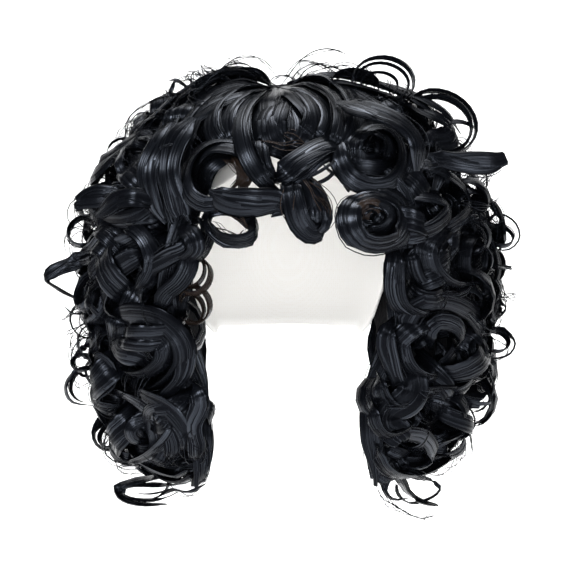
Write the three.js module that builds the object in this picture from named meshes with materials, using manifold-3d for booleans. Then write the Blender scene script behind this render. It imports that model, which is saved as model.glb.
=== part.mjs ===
// A curly wig: a thin net cap carries seven sections of hair, each a body of packed hair with its
// locks fused on. Millimetres, +Z up. The face side looks towards -Y, and the crown of the head
// touches the cap at the origin.
import * as THREE from "three";
import { mergeVertices } from "three/addons/utils/BufferGeometryUtils.js";
import Module from "manifold-3d";

const wasm = await Module();
wasm.setup();

// The head and neck that the wig goes over
const headHalfWidth = 75;
const headHalfDepth = 95;
const headHeight = 110; // from the crown down to the widest level
const neckHalfWidth = 54;
const neckHalfDepth = 62;

// The cap, with the drop of its edge below the crown at places round the head
const capWall = 1.6;
const capForehead = 42;
const capTemple = 72;
const capEarTab = 124;
const capBehindEar = 116;
const capNape = 170;

// The packed hair, without the curls that stand proud of it
const hairHalfWidth = 150;
const hairFront = 104;
const hairBack = 136;
const crownLift = 15; // top of the packed hair above the crown
const sideLength = 284; // crown to hem over the shoulders
const backLength = 174; // crown to hem at the middle of the back
const hemRiseFrom = 88; // degrees round the head where the hem starts to rise to the back
const hemRiseTo = 128;
const partingX = -12;
const partingDepth = 9;
const partingReach = 13;

// Where the sections meet: the flat lower edge of the crown, the flat front of the back, and the
// two sides of the fringe
const crownDrop = 50;
const backStart = 40;
const fringeLeft = 42;
const fringeRight = 40;
const seatGap = 0.4;
const cutDrop = 15; // how far a section runs past the crown's edge before it is cut there
const cutTurn = 25; // and how many degrees a side and the back run past the face between them

// Locks: each is a flat strip of hair wound on an imaginary barrel
const lockWidth = 17;
const lockThickness = 7.5;
const curlRadius = 20; // middle of the strip on the round curls
const curlSink = 4; // how far the middle of a round curl lies under the packed hair
const ringletRadius = 12;
const ringletPitch = 20;

// The body of packed hair that carries the fringe
const fringeThick = 13;
const fringeDrop = 14;

// A level runs from 0 at the crown to 1 at the widest part of the head and 2 at the hem. A turn is
// degrees round the head from the middle of the face.
const degrees = Math.PI / 180;
const steps = { cap: 24, capRows: 6, crown: 24, crownRows: 6, side: 7, back: 9, wall: 8, curl: 5, loop: 7 };

// The packed hair below the crown: width, front and back as shares of hairHalfWidth, hairFront and
// hairBack, and the turns where a side section ends beside the face, at the head and at the outside
const hairRows = [
  { level: 0.64, width: 1.0, front: 1.0, back: 1.0, atHead: 44, atOutside: 26 },
  { level: 1.0, width: 1.0, front: 0.98, back: 1.0, atHead: 62, atOutside: 34 },
  { level: 1.2, width: 1.02, front: 0.92, back: 1.03, atHead: 70, atOutside: 32 },
  { level: 1.42, width: 0.98, front: 0.86, back: 1.02, atHead: 76, atOutside: 30 },
  { level: 1.62, width: 0.94, front: 0.8, back: 0.98, atHead: 80, atOutside: 27 },
  { level: 1.8, width: 0.86, front: 0.74, back: 0.95, atHead: 82, atOutside: 27 },
  { level: 1.93, width: 0.75, front: 0.68, back: 0.9, atHead: 84, atOutside: 31 },
  { level: 2.0, width: 0.62, front: 0.6, back: 0.82, atHead: 86, atOutside: 38 },
];

// The cap's edge, round half the head
const capEdge = [
  { turn: 0, drop: capForehead },
  { turn: 52, drop: capTemple },
  { turn: 78, drop: capEarTab },
  { turn: 104, drop: capBehindEar },
  { turn: 145, drop: capNape },
  { turn: 180, drop: capNape },
];

// Round curls on the packed hair, in rows: level, first and last turn, and how many
const crownCurls = [
  { level: 0.17, from: 70, to: 150, count: 2 },
  { level: 0.37, from: 50, to: 158, count: 4 },
  { level: 0.56, from: 38, to: 158, count: 5 },
];
const sideCurls = [
  { level: 0.8, from: 34, to: 96, count: 4 },
  { level: 1.0, from: 44, to: 88, count: 3 },
  { level: 1.2, from: 36, to: 97, count: 4 },
  { level: 1.42, from: 42, to: 90, count: 3 },
  { level: 1.64, from: 32, to: 96, count: 4 },
];
const backCurls = [
  { level: 0.8, from: 121, to: 239, count: 6 },
  { level: 1.06, from: 129, to: 231, count: 5 },
  { level: 1.4, from: 120, to: 240, count: 6 },
];
const faceCurls = [0.95, 1.22, 1.5, 1.78];

// Ringlets that hang at the hem
const sideRinglets = [{ level: 1.9, from: 40, to: 98, count: 5 }];
const backRinglets = [{ level: 1.56, from: 121, to: 239, count: 7 }];

// Single locks that the outline and the front show. x, y and z are shares of hairHalfWidth,
// hairFront and sideLength, and radius is a share of curlRadius. The barrel of a lock points along
// its turn and tilt, the lock is wound on it from one angle over a sweep, and wide is a share of
// lockWidth.
const crownLeftLocks = [
  { x: -0.22, y: -0.86, z: -0.115, radius: 0.75, turn: 78, tilt: 8, from: 60, sweep: 300, wide: 2.6 },
  { x: -0.42, y: -0.3, z: 0.02, radius: 1.1, turn: 10, tilt: 10, from: 215, sweep: -190, wide: 0.7 },
  { x: -0.72, y: -0.2, z: -0.085, radius: 0.9, turn: -10, tilt: 15, from: 240, sweep: -210, wide: 0.6 },
];
const crownRightLocks = [
  { x: 0.14, y: -0.88, z: -0.11, radius: 0.75, turn: 96, tilt: -8, from: 60, sweep: 300, wide: 2.4 },
  { x: 0.17, y: -0.28, z: 0.03, radius: 1.05, turn: 6, tilt: 0, from: 195, sweep: -205, wide: 0.5 },
  { x: 0.46, y: -0.1, z: 0.015, radius: 1.2, turn: 8, tilt: 5, from: 200, sweep: -215, wide: 0.6 },
  { x: 0.74, y: 0.0, z: -0.07, radius: 1.25, turn: 4, tilt: 0, from: 175, sweep: -240, wide: 0.7 },
  { x: 0.46, y: -0.76, z: -0.1, radius: 1.1, turn: 14, tilt: 12, from: 100, sweep: 330, wide: 1.2 },
];
const sideLeftLocks = [
  { x: -0.42, y: -0.93, z: -0.235, radius: 0.95, turn: -8, tilt: 0, from: 70, sweep: 345, wide: 1.2 },
  { x: -1.0, y: -0.1, z: -0.35, radius: 0.75, turn: 0, tilt: 0, from: 60, sweep: 250, wide: 0.7 },
  { x: -1.03, y: -0.2, z: -0.47, radius: 0.85, turn: -40, tilt: 55, from: 20, sweep: 320, wide: 0.7 },
  { x: -0.5, y: -0.72, z: -0.49, radius: 0.85, turn: 20, tilt: 10, from: 110, sweep: -230, wide: 0.6 },
  { x: -0.97, y: -0.15, z: -0.71, radius: 0.6, turn: 0, tilt: 10, from: 60, sweep: 260, wide: 0.5 },
  { x: -0.68, y: -0.3, z: -0.98, radius: 0.8, turn: -20, tilt: 62, from: 30, sweep: 250, wide: 0.8 },
];
const sideRightLocks = [
  { x: 0.43, y: -0.88, z: -0.305, radius: 1.0, turn: 6, tilt: 0, from: 80, sweep: 340, wide: 1.3 },
  { x: 0.93, y: 0.0, z: -0.2, radius: 0.9, turn: 20, tilt: 70, from: 200, sweep: 280, wide: 1.1 },
  { x: 1.02, y: -0.1, z: -0.37, radius: 0.7, turn: 0, tilt: 0, from: 130, sweep: -260, wide: 0.4 },
  { x: 0.97, y: -0.2, z: -0.61, radius: 0.85, turn: 30, tilt: 55, from: 170, sweep: -300, wide: 0.7 },
  { x: 0.86, y: -0.2, z: -0.76, radius: 1.1, turn: 0, tilt: 0, from: 75, sweep: -150, wide: 0.5 },
  { x: 0.62, y: -0.4, z: -1.0, radius: 0.8, turn: 25, tilt: 65, from: 150, sweep: -250, wide: 0.7 },
];
const fringeLeftLocks = [
  { x: -0.2, y: -0.8, z: -0.25, radius: 0.95, turn: 12, tilt: 84, from: 205, sweep: 130, wide: 1.0 },
  { x: -0.17, y: -0.93, z: -0.235, radius: 0.8, turn: 60, tilt: 60, from: 200, sweep: 190, wide: 1.1 },
  { x: -0.18, y: -0.98, z: -0.32, radius: 0.72, turn: -35, tilt: 28, from: 90, sweep: 330, wide: 0.8 },
];
const fringeRightLocks = [
  { x: 0.12, y: -0.95, z: -0.29, radius: 0.85, turn: 84, tilt: -14, from: 100, sweep: 300, wide: 1.5 },
  { x: 0.17, y: -0.86, z: -0.2, radius: 0.7, turn: 60, tilt: 52, from: 180, sweep: 160, wide: 1.1 },
];

const hairColour = 0x16181c;
const netColour = 0xc9b094;

const mix = (a, b, t) => a + (b - a) * t;

// A repeatable spread from 0 to 1, for the way that each curl lies
function scatter(n) {
  const s = Math.sin(n * 12.9898) * 43758.5453;
  return s - Math.floor(s);
}

// Degrees from the middle of the face, 0 to 180, on either side
const roundTurn = (turn) => Math.abs(((turn + 540) % 360) - 180);

// The row of a table at a value of its key, worked out between its neighbours
function rowAt(table, key, value, ease = (t) => t) {
  const found = table.findIndex((row) => row[key] >= value);
  const n = Math.max(1, found < 0 ? table.length - 1 : found);
  const above = table[n - 1];
  const below = table[n];
  const t = ease(THREE.MathUtils.clamp((value - above[key]) / (below[key] - above[key]), 0, 1));
  return Object.fromEntries(Object.keys(above).map((name) => [name, mix(above[name], below[name], t)]));
}

// The drop of the hem below the crown: long over the shoulders, shorter at the middle of the back
function hemDrop(turn) {
  return mix(sideLength, backLength, THREE.MathUtils.smoothstep(roundTurn(turn), hemRiseFrom, hemRiseTo));
}

// The drop of a level below the crown, on a dome of the given height
function dropAt(level, turn, domeHeight) {
  if (level <= 1) return headHeight - domeHeight * Math.cos(level * 90 * degrees);
  return mix(headHeight, hemDrop(turn), level - 1);
}

// The level where the outside of the packed hair has a drop below the crown
const levelAt = (drop) => Math.acos((headHeight - drop) / (headHeight + crownLift)) / (90 * degrees);

// The turn where the outside of the packed hair meets the front face of the back
const backTurn = 180 - Math.acos(backStart / hairBack) / degrees;

// A point on the outside of the packed hair
function hairPoint(level, turn) {
  const row = rowAt(hairRows, "level", level);
  const bulge = level <= 1 ? Math.sin(level * 90 * degrees) : 1;
  const along = Math.cos(turn * degrees);
  const reach = along > 0 ? hairFront * row.front : hairBack * row.back;
  const x = hairHalfWidth * row.width * bulge * Math.sin(turn * degrees);
  const y = -reach * bulge * along;
  const valley = (x - partingX) / partingReach;
  const dent = level < 1 && y < 0 ? partingDepth * Math.exp(-valley * valley) * (1 - level) : 0;
  return new THREE.Vector3(x, y, -dropAt(level, turn, headHeight + crownLift) - dent);
}

// A point of the head, or of the neck below it, at a drop below the crown and with room added
function headPoint(drop, turn, room = 0) {
  const height = THREE.MathUtils.clamp((headHeight - drop) / headHeight, -1, 1);
  const waist = Math.sqrt(1 - height * height);
  const low = drop > headHeight;
  const x = Math.max(headHalfWidth * waist, low ? neckHalfWidth : 0) + room * waist;
  const y = Math.max(headHalfDepth * waist, low ? neckHalfDepth : 0) + room * waist;
  return new THREE.Vector3(x * Math.sin(turn * degrees), -y * Math.cos(turn * degrees), room * height - drop);
}

// The packed hair's surface at a place: the point, the way down along it and the way out of it
function hairFrame(level, turn) {
  const step = 0.02;
  const here = hairPoint(level, turn);
  const down = hairPoint(level + step, turn).sub(hairPoint(level - step, turn)).normalize();
  const round = hairPoint(level, turn + 2).sub(hairPoint(level, turn - 2)).normalize();
  const out = new THREE.Vector3().crossVectors(down, round).normalize();
  if (out.dot(here.clone().setZ(here.z + headHeight)) < 0) out.negate();
  return { here, down, out };
}

// A closed mesh as a solid, turned to face outwards
function solidOf(points, faces) {
  const geometry = new THREE.BufferGeometry().setFromPoints(points);
  geometry.setIndex(faces.flat());
  const merged = mergeVertices(geometry, 1e-3);
  const index = [...merged.index.array];
  const triangles = [];
  for (let i = 0; i < index.length; i += 3) {
    const [a, b, c] = index.slice(i, i + 3);
    if (a !== b && b !== c && c !== a) triangles.push([a, b, c]);
  }
  const vertProperties = merged.attributes.position.array;
  const build = (all) => {
    const triVerts = new Uint32Array(all.flat());
    return new wasm.Manifold(new wasm.Mesh({ numProp: 3, vertProperties, triVerts }));
  };
  const made = build(triangles);
  return made.volume() > 0 ? made : build(triangles.map(([a, b, c]) => [a, c, b]));
}

// A box between two corners as a solid
function boxSolid(low, high) {
  const size = high.clone().sub(low);
  const box = new THREE.BoxGeometry(size.x, size.y, size.z);
  box.translate(low.x + size.x / 2, low.y + size.y / 2, low.z + size.z / 2);
  const position = box.getAttribute("position");
  const points = Array.from({ length: position.count }, (_, i) =>
    new THREE.Vector3().fromBufferAttribute(position, i),
  );
  return solidOf(points, [...box.index.array]);
}

// A wall between two grids of points, outer and inner, closed all round. With ring set, the last
// column joins the first.
function wallSolid(outer, inner, ring = false) {
  const columns = outer.length;
  const rows = outer[0].length;
  const faces = [];
  const at = (side, c, r) => (side * columns + (c % columns)) * rows + r;
  const quad = (a, b, c, d) => faces.push([a, b, c], [a, c, d]);
  for (let c = 0; c < columns - (ring ? 0 : 1); c++) {
    for (let r = 0; r < rows - 1; r++) {
      quad(at(0, c, r), at(0, c, r + 1), at(0, c + 1, r + 1), at(0, c + 1, r));
      quad(at(1, c, r), at(1, c + 1, r), at(1, c + 1, r + 1), at(1, c, r + 1));
    }
    quad(at(0, c, 0), at(0, c + 1, 0), at(1, c + 1, 0), at(1, c, 0));
    quad(at(0, c, rows - 1), at(1, c, rows - 1), at(1, c + 1, rows - 1), at(0, c + 1, rows - 1));
  }
  const last = columns - 1;
  for (let r = 0; r < (ring ? 0 : rows - 1); r++) {
    quad(at(0, 0, r), at(1, 0, r), at(1, 0, r + 1), at(0, 0, r + 1));
    quad(at(0, last, r), at(0, last, r + 1), at(1, last, r + 1), at(1, last, r));
  }
  return solidOf([...outer.flat(), ...inner.flat()], faces);
}

// A dome given by a ring of columns that start at its pole, closed flat below
function domeSolid(columns) {
  const core = columns.map((column) =>
    column.map((p, r) => (r ? new THREE.Vector3(0, 0, column.at(-1).z) : p)),
  );
  return wallSolid(columns, core, true);
}

// A strip of hair along a path. Each path point has the way across the strip and the way through
// it, and the strip thins to its tip.
function stripSolid(path, width, thickness) {
  const corners = [
    { across: -0.5, through: -0.4 },
    { across: 0, through: 0.6 },
    { across: 0.5, through: -0.4 },
  ];
  const tip = 0.45;
  const points = path.flatMap(({ at, across, through }, i) => {
    const taper = mix(1, tip, Math.max(0, (2 * i) / (path.length - 1) - 1));
    return corners.map((corner) =>
      at.clone()
        .addScaledVector(across, corner.across * width * taper)
        .addScaledVector(through, corner.through * thickness * taper),
    );
  });
  const n = corners.length;
  const faces = [];
  for (let i = 0; i < path.length - 1; i++) {
    for (let k = 0; k < n; k++) {
      const a = i * n + k;
      const b = i * n + ((k + 1) % n);
      faces.push([a, b, b + n], [a, b + n, a + n]);
    }
  }
  const end = (path.length - 1) * n;
  faces.push([0, 2, 1], [end, end + 1, end + 2]);
  return solidOf(points, faces);
}

// The path of a lock wound on a barrel: round the centre from one angle over a sweep, while it
// creeps along the barrel and its radius shrinks to a share of the first one. At 90 degrees the lock
// is at the top of its barrel, or towards up where that is given.
function barrelPath({ centre, axis, radius, from, sweep, creep, shrink, count = steps.loop, up }) {
  const upright = up ?? new THREE.Vector3(0, Math.abs(axis.z) < 0.9 ? 0 : 1, Math.abs(axis.z) < 0.9 ? 1 : 0);
  const v = upright.clone().addScaledVector(axis, -upright.dot(axis)).normalize();
  const u = new THREE.Vector3().crossVectors(v, axis);
  return Array.from({ length: count + 1 }, (_, i) => {
    const t = i / count;
    const angle = (from + sweep * t) * degrees;
    const through = u.clone().multiplyScalar(Math.cos(angle)).addScaledVector(v, Math.sin(angle));
    const at = centre.clone().addScaledVector(through, radius * mix(1, shrink, t));
    return { at: at.addScaledVector(axis, creep * t), across: axis, through };
  });
}

// Every place in a list of curl rows, on the side of the head that side gives
function places(rows, side) {
  return rows.flatMap(({ level, from, to, count }, r) =>
    Array.from({ length: count }, (_, i) => ({
      level,
      turn: side * mix(from, to, i / (count - 1)),
      seed: r * 31 + i * 7 + (side > 0 ? 3 : 11),
    })),
  );
}

// A round curl half sunk in the packed hair, wound on a short barrel that leans from straight out
function roundCurl({ here, down, out }, seed) {
  const across = new THREE.Vector3().crossVectors(out, down);
  const lean = mix(20, 62, scatter(seed)) * degrees;
  const way = 360 * degrees * scatter(seed + 1);
  const aside = down.clone().multiplyScalar(Math.cos(way)).addScaledVector(across, Math.sin(way));
  const hand = scatter(seed + 2) > 0.5 ? 1 : -1;
  const sweep = mix(220, 270, scatter(seed + 4));
  const path = barrelPath({
    centre: here.clone().addScaledVector(out, -curlSink),
    axis: out.clone().multiplyScalar(Math.cos(lean)).addScaledVector(aside, Math.sin(lean)),
    radius: curlRadius * mix(0.85, 1.15, scatter(seed + 3)),
    from: 90 - (hand * sweep) / 2,
    sweep: hand * sweep,
    creep: lockWidth * 0.5,
    shrink: 0.75,
    count: steps.curl,
    up: out,
  });
  return stripSolid(path, lockWidth, lockThickness);
}

// Rows of round curls over the packed hair
const roundCurls = (rows, side = 1) =>
  places(rows, side).map(({ level, turn, seed }) => roundCurl(hairFrame(level, turn), seed));

// Round curls down the edge of a side section beside the face
function edgeCurls(side) {
  return faceCurls.map((level, i) => {
    const { atHead, atOutside } = rowAt(hairRows, "level", level);
    const inner = headPoint(dropAt(level, side * atHead, headHeight), side * atHead);
    const outer = hairPoint(level, side * atOutside);
    const down = new THREE.Vector3(0, 0, -1);
    const out = new THREE.Vector3().crossVectors(outer.clone().sub(inner), down).setZ(0).normalize();
    if (out.y > 0) out.negate();
    return roundCurl({ here: inner.lerp(outer, i % 2 ? 0.4 : 0.7), down, out }, 5 * i + (side > 0 ? 2 : 17));
  });
}

// Ringlets that hang at the hem, each wound on a barrel that points down
function ringlets(rows, side = 1) {
  return places(rows, side).map(({ level, turn, seed }) => {
    const { here, out } = hairFrame(level, turn);
    const axis = new THREE.Vector3(0, 0, -1).addScaledVector(out, 0.35 * (scatter(seed) - 0.3)).normalize();
    const path = barrelPath({
      centre: here.clone().addScaledVector(out, -lockWidth).addScaledVector(axis, -ringletPitch * 0.9),
      axis,
      radius: ringletRadius,
      from: 360 * scatter(seed + 1),
      sweep: 460,
      creep: ringletPitch * mix(1.5, 2, scatter(seed + 2)),
      shrink: 0.7,
    });
    return stripSolid(path, lockWidth * 0.8, lockThickness * 0.8);
  });
}

// The single locks of one table
function singleLocks(rows) {
  return rows.map(({ x, y, z, radius, turn, tilt, from, sweep, wide }) => {
    const flat = Math.cos(tilt * degrees);
    const axis = new THREE.Vector3(Math.sin(turn * degrees), -Math.cos(turn * degrees), 0)
      .multiplyScalar(flat)
      .setZ(Math.sin(tilt * degrees));
    const width = lockWidth * wide;
    const centre = new THREE.Vector3(x * hairHalfWidth, y * hairFront, z * sideLength);
    const path = barrelPath({
      centre: centre.addScaledVector(axis, -width * 0.2),
      axis,
      radius: radius * curlRadius,
      from,
      sweep,
      creep: width * 0.4,
      shrink: 0.9,
    });
    return stripSolid(path, width, lockThickness * 0.8);
  });
}

// The drop of the cap's edge at a turn
const edgeDrop = (turn) =>
  rowAt(capEdge, "turn", roundTurn(turn), (t) => THREE.MathUtils.smoothstep(t, 0, 1)).drop;

// The columns of the cap's surface, from the crown to its edge, with room added to the head
function capColumns(room) {
  return Array.from({ length: steps.cap }, (_, c) => {
    const turn = (c * 360) / steps.cap;
    const edge = Math.acos(1 - edgeDrop(turn) / headHeight);
    return Array.from({ length: steps.capRows + 1 }, (_, r) =>
      headPoint(headHeight * (1 - Math.cos((edge * r) / steps.capRows)), turn, room),
    );
  });
}

// The net cap: a hollow dome that follows the head down to its edge
const capSolid = () => wallSolid(capColumns(capWall), capColumns(0), true);

// The space that stays free of hair: the cap with the gap round it, and the neck below
function headSpace() {
  const room = capWall + seatGap;
  const waist = neckHalfWidth / headHalfWidth;
  const neckTop = Math.max(headHeight * (1 + Math.sqrt(1 - waist ** 2)), capNape + capWall);
  const bottom = sideLength + 2 * curlRadius;
  const below = 4;
  const columns = capColumns(room).map((column, c) => {
    const turn = (c * 360) / steps.cap;
    const more = Array.from({ length: below }, (_, k) =>
      headPoint(mix(edgeDrop(turn), neckTop, (k + 1) / below), turn, room),
    );
    return [...column, ...more, more.at(-1).clone().setZ(-bottom)];
  });
  return domeSolid(columns);
}

// The whole dome of packed hair over the head, parted from front to back
function crownDome() {
  const lowest = levelAt(crownDrop + cutDrop);
  return domeSolid(
    Array.from({ length: steps.crown }, (_, c) =>
      Array.from({ length: steps.crownRows + 1 }, (_, r) =>
        hairPoint((lowest * r) / steps.crownRows, (c * 360) / steps.crown),
      ),
    ),
  );
}

// A wall of packed hair below the crown, from one end to the other. An end gives the turns at the
// head and at the outside for a row of the table.
function hairWall(firstEnd, lastEnd, columns) {
  const highest = levelAt(crownDrop - cutDrop);
  const grid = (outside) =>
    Array.from({ length: columns + 1 }, (_, c) =>
      Array.from({ length: steps.wall + 1 }, (_, r) => {
        const level = mix(highest, 2, r / steps.wall);
        const row = rowAt(hairRows, "level", level);
        const turn = mix(firstEnd(row)[outside], lastEnd(row)[outside], c / columns);
        return outside ? hairPoint(level, turn) : headPoint(dropAt(level, turn, headHeight), turn);
      }),
    );
  return wallSolid(grid(1), grid(0));
}

function sideWall(side) {
  const beyond = side * (backTurn + cutTurn);
  return hairWall((row) => [side * row.atHead, side * row.atOutside], () => [beyond, beyond], steps.side);
}

function backWall() {
  const before = backTurn - cutTurn;
  return hairWall(() => [before, before], () => [360 - before, 360 - before], steps.back);
}

// The packed hair that carries one half of the fringe, hung below the front of the crown
function fringeWall(side) {
  const columns = 4;
  const rows = 2;
  const lastTurn = 48;
  const grid = (outside) =>
    Array.from({ length: columns + 1 }, (_, c) =>
      Array.from({ length: rows + 1 }, (_, r) => {
        const drop = mix(crownDrop - cutDrop, crownDrop + fringeDrop, r / rows);
        const at = headPoint(drop, (side * lastTurn * c) / columns);
        const thick = fringeThick * mix(1, 0.6, r / rows) + capWall + seatGap;
        return at.setY(at.y - outside * thick);
      }),
    );
  return wallSolid(grid(1), grid(0));
}

// The block of space that a section may fill, between the faces where it meets its neighbours
function sectionSpace({ left, right, front, back, low, high }) {
  const far = 3 * headHeight;
  const half = seatGap / 2;
  return boxSolid(
    new THREE.Vector3((left ?? -far) + half, (front ?? -far) + half, (low ?? -2 * far) + half),
    new THREE.Vector3((right ?? far) - half, (back ?? far) - half, (high ?? far) - half),
  );
}

// The largest body of a solid, without the crumbs that a cut can leave
const mainBody = (solid) => solid.decompose().reduce((a, b) => (a.volume() > b.volume() ? a : b));

// One section: its packed hair and locks, within its own space and off the head
function section(solids, space) {
  const whole = solids.reduce((all, one) => all.add(one));
  return mainBody(whole.intersect(sectionSpace(space)).subtract(headSpace()));
}

function addPiece(group, name, solid, colour, roughness) {
  const { vertProperties, triVerts } = solid.getMesh();
  const geometry = new THREE.BufferGeometry();
  geometry.setAttribute("position", new THREE.BufferAttribute(vertProperties, 3));
  geometry.setIndex(new THREE.BufferAttribute(triVerts, 1));
  geometry.computeVertexNormals();
  const material = new THREE.MeshStandardMaterial({ color: colour, roughness, metalness: 0 });
  const piece = new THREE.Mesh(geometry, material);
  piece.name = name;
  group.add(piece);
}

const low = -crownDrop;
const sections = {
  crown_left_hair: section(
    [crownDome(), ...roundCurls(crownCurls, -1), ...singleLocks(crownLeftLocks)],
    { right: partingX, low },
  ),
  crown_right_hair: section(
    [crownDome(), ...roundCurls(crownCurls), ...singleLocks(crownRightLocks)],
    { left: partingX, low },
  ),
  fringe_left_hair: section(
    [fringeWall(-1), ...singleLocks(fringeLeftLocks)],
    { left: -fringeLeft, right: partingX, back: 0, high: low },
  ),
  fringe_right_hair: section(
    [fringeWall(1), fringeWall(-1), ...singleLocks(fringeRightLocks)],
    { left: partingX, right: fringeRight, back: 0, high: low },
  ),
  side_left_hair: section(
    [
      sideWall(-1),
      ...roundCurls(sideCurls, -1),
      ...edgeCurls(-1),
      ...ringlets(sideRinglets, -1),
      ...singleLocks(sideLeftLocks),
    ],
    { right: -fringeLeft, back: backStart, high: low },
  ),
  side_right_hair: section(
    [
      sideWall(1),
      ...roundCurls(sideCurls),
      ...edgeCurls(1),
      ...ringlets(sideRinglets),
      ...singleLocks(sideRightLocks),
    ],
    { left: fringeRight, back: backStart, high: low },
  ),
  back_hair: section(
    [backWall(), ...roundCurls(backCurls), ...ringlets(backRinglets)],
    { front: backStart, high: low },
  ),
};

const wig = new THREE.Group();
addPiece(wig, "cap", capSolid(), netColour, 0.85);
for (const [name, solid] of Object.entries(sections)) addPiece(wig, name, solid, hairColour, 0.45);

export default wig;
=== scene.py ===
import math

import bmesh
import bpy
import numpy as np
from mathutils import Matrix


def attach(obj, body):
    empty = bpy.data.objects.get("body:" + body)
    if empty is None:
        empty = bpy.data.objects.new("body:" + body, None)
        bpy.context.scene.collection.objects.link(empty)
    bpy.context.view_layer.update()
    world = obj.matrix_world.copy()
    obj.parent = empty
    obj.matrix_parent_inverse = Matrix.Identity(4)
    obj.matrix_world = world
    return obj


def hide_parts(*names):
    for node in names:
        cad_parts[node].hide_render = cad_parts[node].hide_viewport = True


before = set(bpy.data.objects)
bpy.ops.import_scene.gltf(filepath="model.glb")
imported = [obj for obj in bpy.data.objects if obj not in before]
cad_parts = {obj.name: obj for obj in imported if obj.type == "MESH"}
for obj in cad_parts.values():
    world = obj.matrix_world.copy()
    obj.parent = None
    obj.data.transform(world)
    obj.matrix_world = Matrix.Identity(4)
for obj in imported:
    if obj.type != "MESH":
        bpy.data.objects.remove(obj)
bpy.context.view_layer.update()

mm = 0.001
rng = np.random.default_rng(7)

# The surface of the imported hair, as in the part: a level runs from 0 at the crown to 1 at the widest
# part of the head and 2 at the hem, and a turn is degrees round the head from the middle of the face.
shape = {
    "headHeight": 110,
    "headHalfWidth": 75,
    "headHalfDepth": 95,
    "neckHalfWidth": 54,
    "neckHalfDepth": 62,
    "halfWidth": 150,
    "front": 104,
    "back": 136,
    "crownLift": 15,
    "sideLength": 289,
    "backLength": 165,
    "hemRise": (88, 128),
    "partingX": -12,
    "partingDepth": 9,
    "partingReach": 13,
    "crownDrop": 50,
    "backStart": 40,
}

hairRows = {
    "level": [0.64, 1.0, 1.2, 1.42, 1.62, 1.8, 1.93, 2.0],
    "width": [1.0, 1.0, 1.02, 0.98, 0.94, 0.86, 0.75, 0.62],
    "front": [1.0, 0.98, 0.92, 0.86, 0.8, 0.74, 0.68, 0.6],
    "back": [1.0, 1.0, 1.03, 1.02, 0.98, 0.95, 0.9, 0.82],
    "atHead": [44, 62, 70, 76, 80, 82, 84, 86],
    "atOutside": [26, 34, 32, 30, 27, 27, 31, 38],
}


def smooth(low, high, value):
    t = np.clip((value - low) / (high - low), 0, 1)
    return t * t * (3 - 2 * t)


def mix(a, b, t):
    return a + (b - a) * t


def unit(v):
    return v / np.maximum(np.linalg.norm(v, axis=-1, keepdims=True), 1e-9)


def rowAt(name, level):
    return np.interp(level, hairRows["level"], hairRows[name])


# Degrees round from the middle of the face, the same on both sides
def fromFace(turn):
    return abs((turn + 540) % 360 - 180)


def hemDrop(turn):
    return mix(shape["sideLength"], shape["backLength"], smooth(*shape["hemRise"], fromFace(turn)))


def dropAt(level, turn, dome):
    if level <= 1:
        return shape["headHeight"] - dome * math.cos(level * math.pi / 2)
    return mix(shape["headHeight"], hemDrop(turn), level - 1)


def hairPoint(level, turn):
    bulge = math.sin(level * math.pi / 2) if level <= 1 else 1
    angle = math.radians(turn)
    along = math.cos(angle)
    face = "front" if along > 0 else "back"
    reach = shape[face] * rowAt(face, level)
    x = shape["halfWidth"] * rowAt("width", level) * bulge * math.sin(angle)
    y = -reach * bulge * along
    valley = (x - shape["partingX"]) / shape["partingReach"]
    dent = shape["partingDepth"] * math.exp(-valley * valley) * (1 - level) if level < 1 and y < 0 else 0
    return np.array([x, y, -dropAt(level, turn, shape["headHeight"] + shape["crownLift"]) - dent])


def headPoint(drop, turn, room=2.0):
    height = np.clip((shape["headHeight"] - drop) / shape["headHeight"], -1, 1)
    waist = math.sqrt(1 - height * height)
    low = drop > shape["headHeight"]
    x = max(shape["headHalfWidth"] * waist, shape["neckHalfWidth"] if low else 0) + room * waist
    y = max(shape["headHalfDepth"] * waist, shape["neckHalfDepth"] if low else 0) + room * waist
    angle = math.radians(turn)
    return np.array([x * math.sin(angle), -y * math.cos(angle), room * height - drop])


# Where the hair's inner wall stands: at the head, and wider than it at the jaw and the neck. Towards the
# nape, between the two turns, it comes back to the head.
jawRoom = {
    "drop": [110, 140, 165, 190, 212, 284],
    "wider": [1.0, 1.06, 1.2, 1.32, 1.2, 1.2],
    "ends": (125, 165),
}


def wallPoint(drop, turn):
    wider = np.interp(drop, jawRoom["drop"], jawRoom["wider"])
    return headPoint(drop, turn) * np.array([mix(wider, 1, smooth(*jawRoom["ends"], fromFace(turn))), 1, 1])


# Where a place on the surface is, which way is out, down and round, and how many millimetres one
# level and one degree are there
def hairFrame(level, turn):
    here = hairPoint(level, turn)
    down = (hairPoint(level + 0.02, turn) - hairPoint(max(level - 0.02, 0.001), turn)) / 0.04
    aside = (hairPoint(level, turn + 1) - hairPoint(level, turn - 1)) / 2
    out = unit(np.cross(down, aside))
    return here, out, unit(down), unit(aside), np.linalg.norm(down), max(np.linalg.norm(aside), 0.25)


# The level and turn of a place on the crown, seen from above
def levelTurnAt(x, y):
    reach = shape["front"] if y < 0 else shape["back"]
    bulge = min(math.hypot(x / shape["halfWidth"], y / reach), 0.99)
    return math.asin(bulge) / (math.pi / 2), math.degrees(math.atan2(x / shape["halfWidth"], -y / reach))


# Lines end just above the hem. Near the crown, where the turns meet, they keep their direction.
walk = {"lowest": 1.99, "crown": 0.3, "swingEvery": 9}


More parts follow.
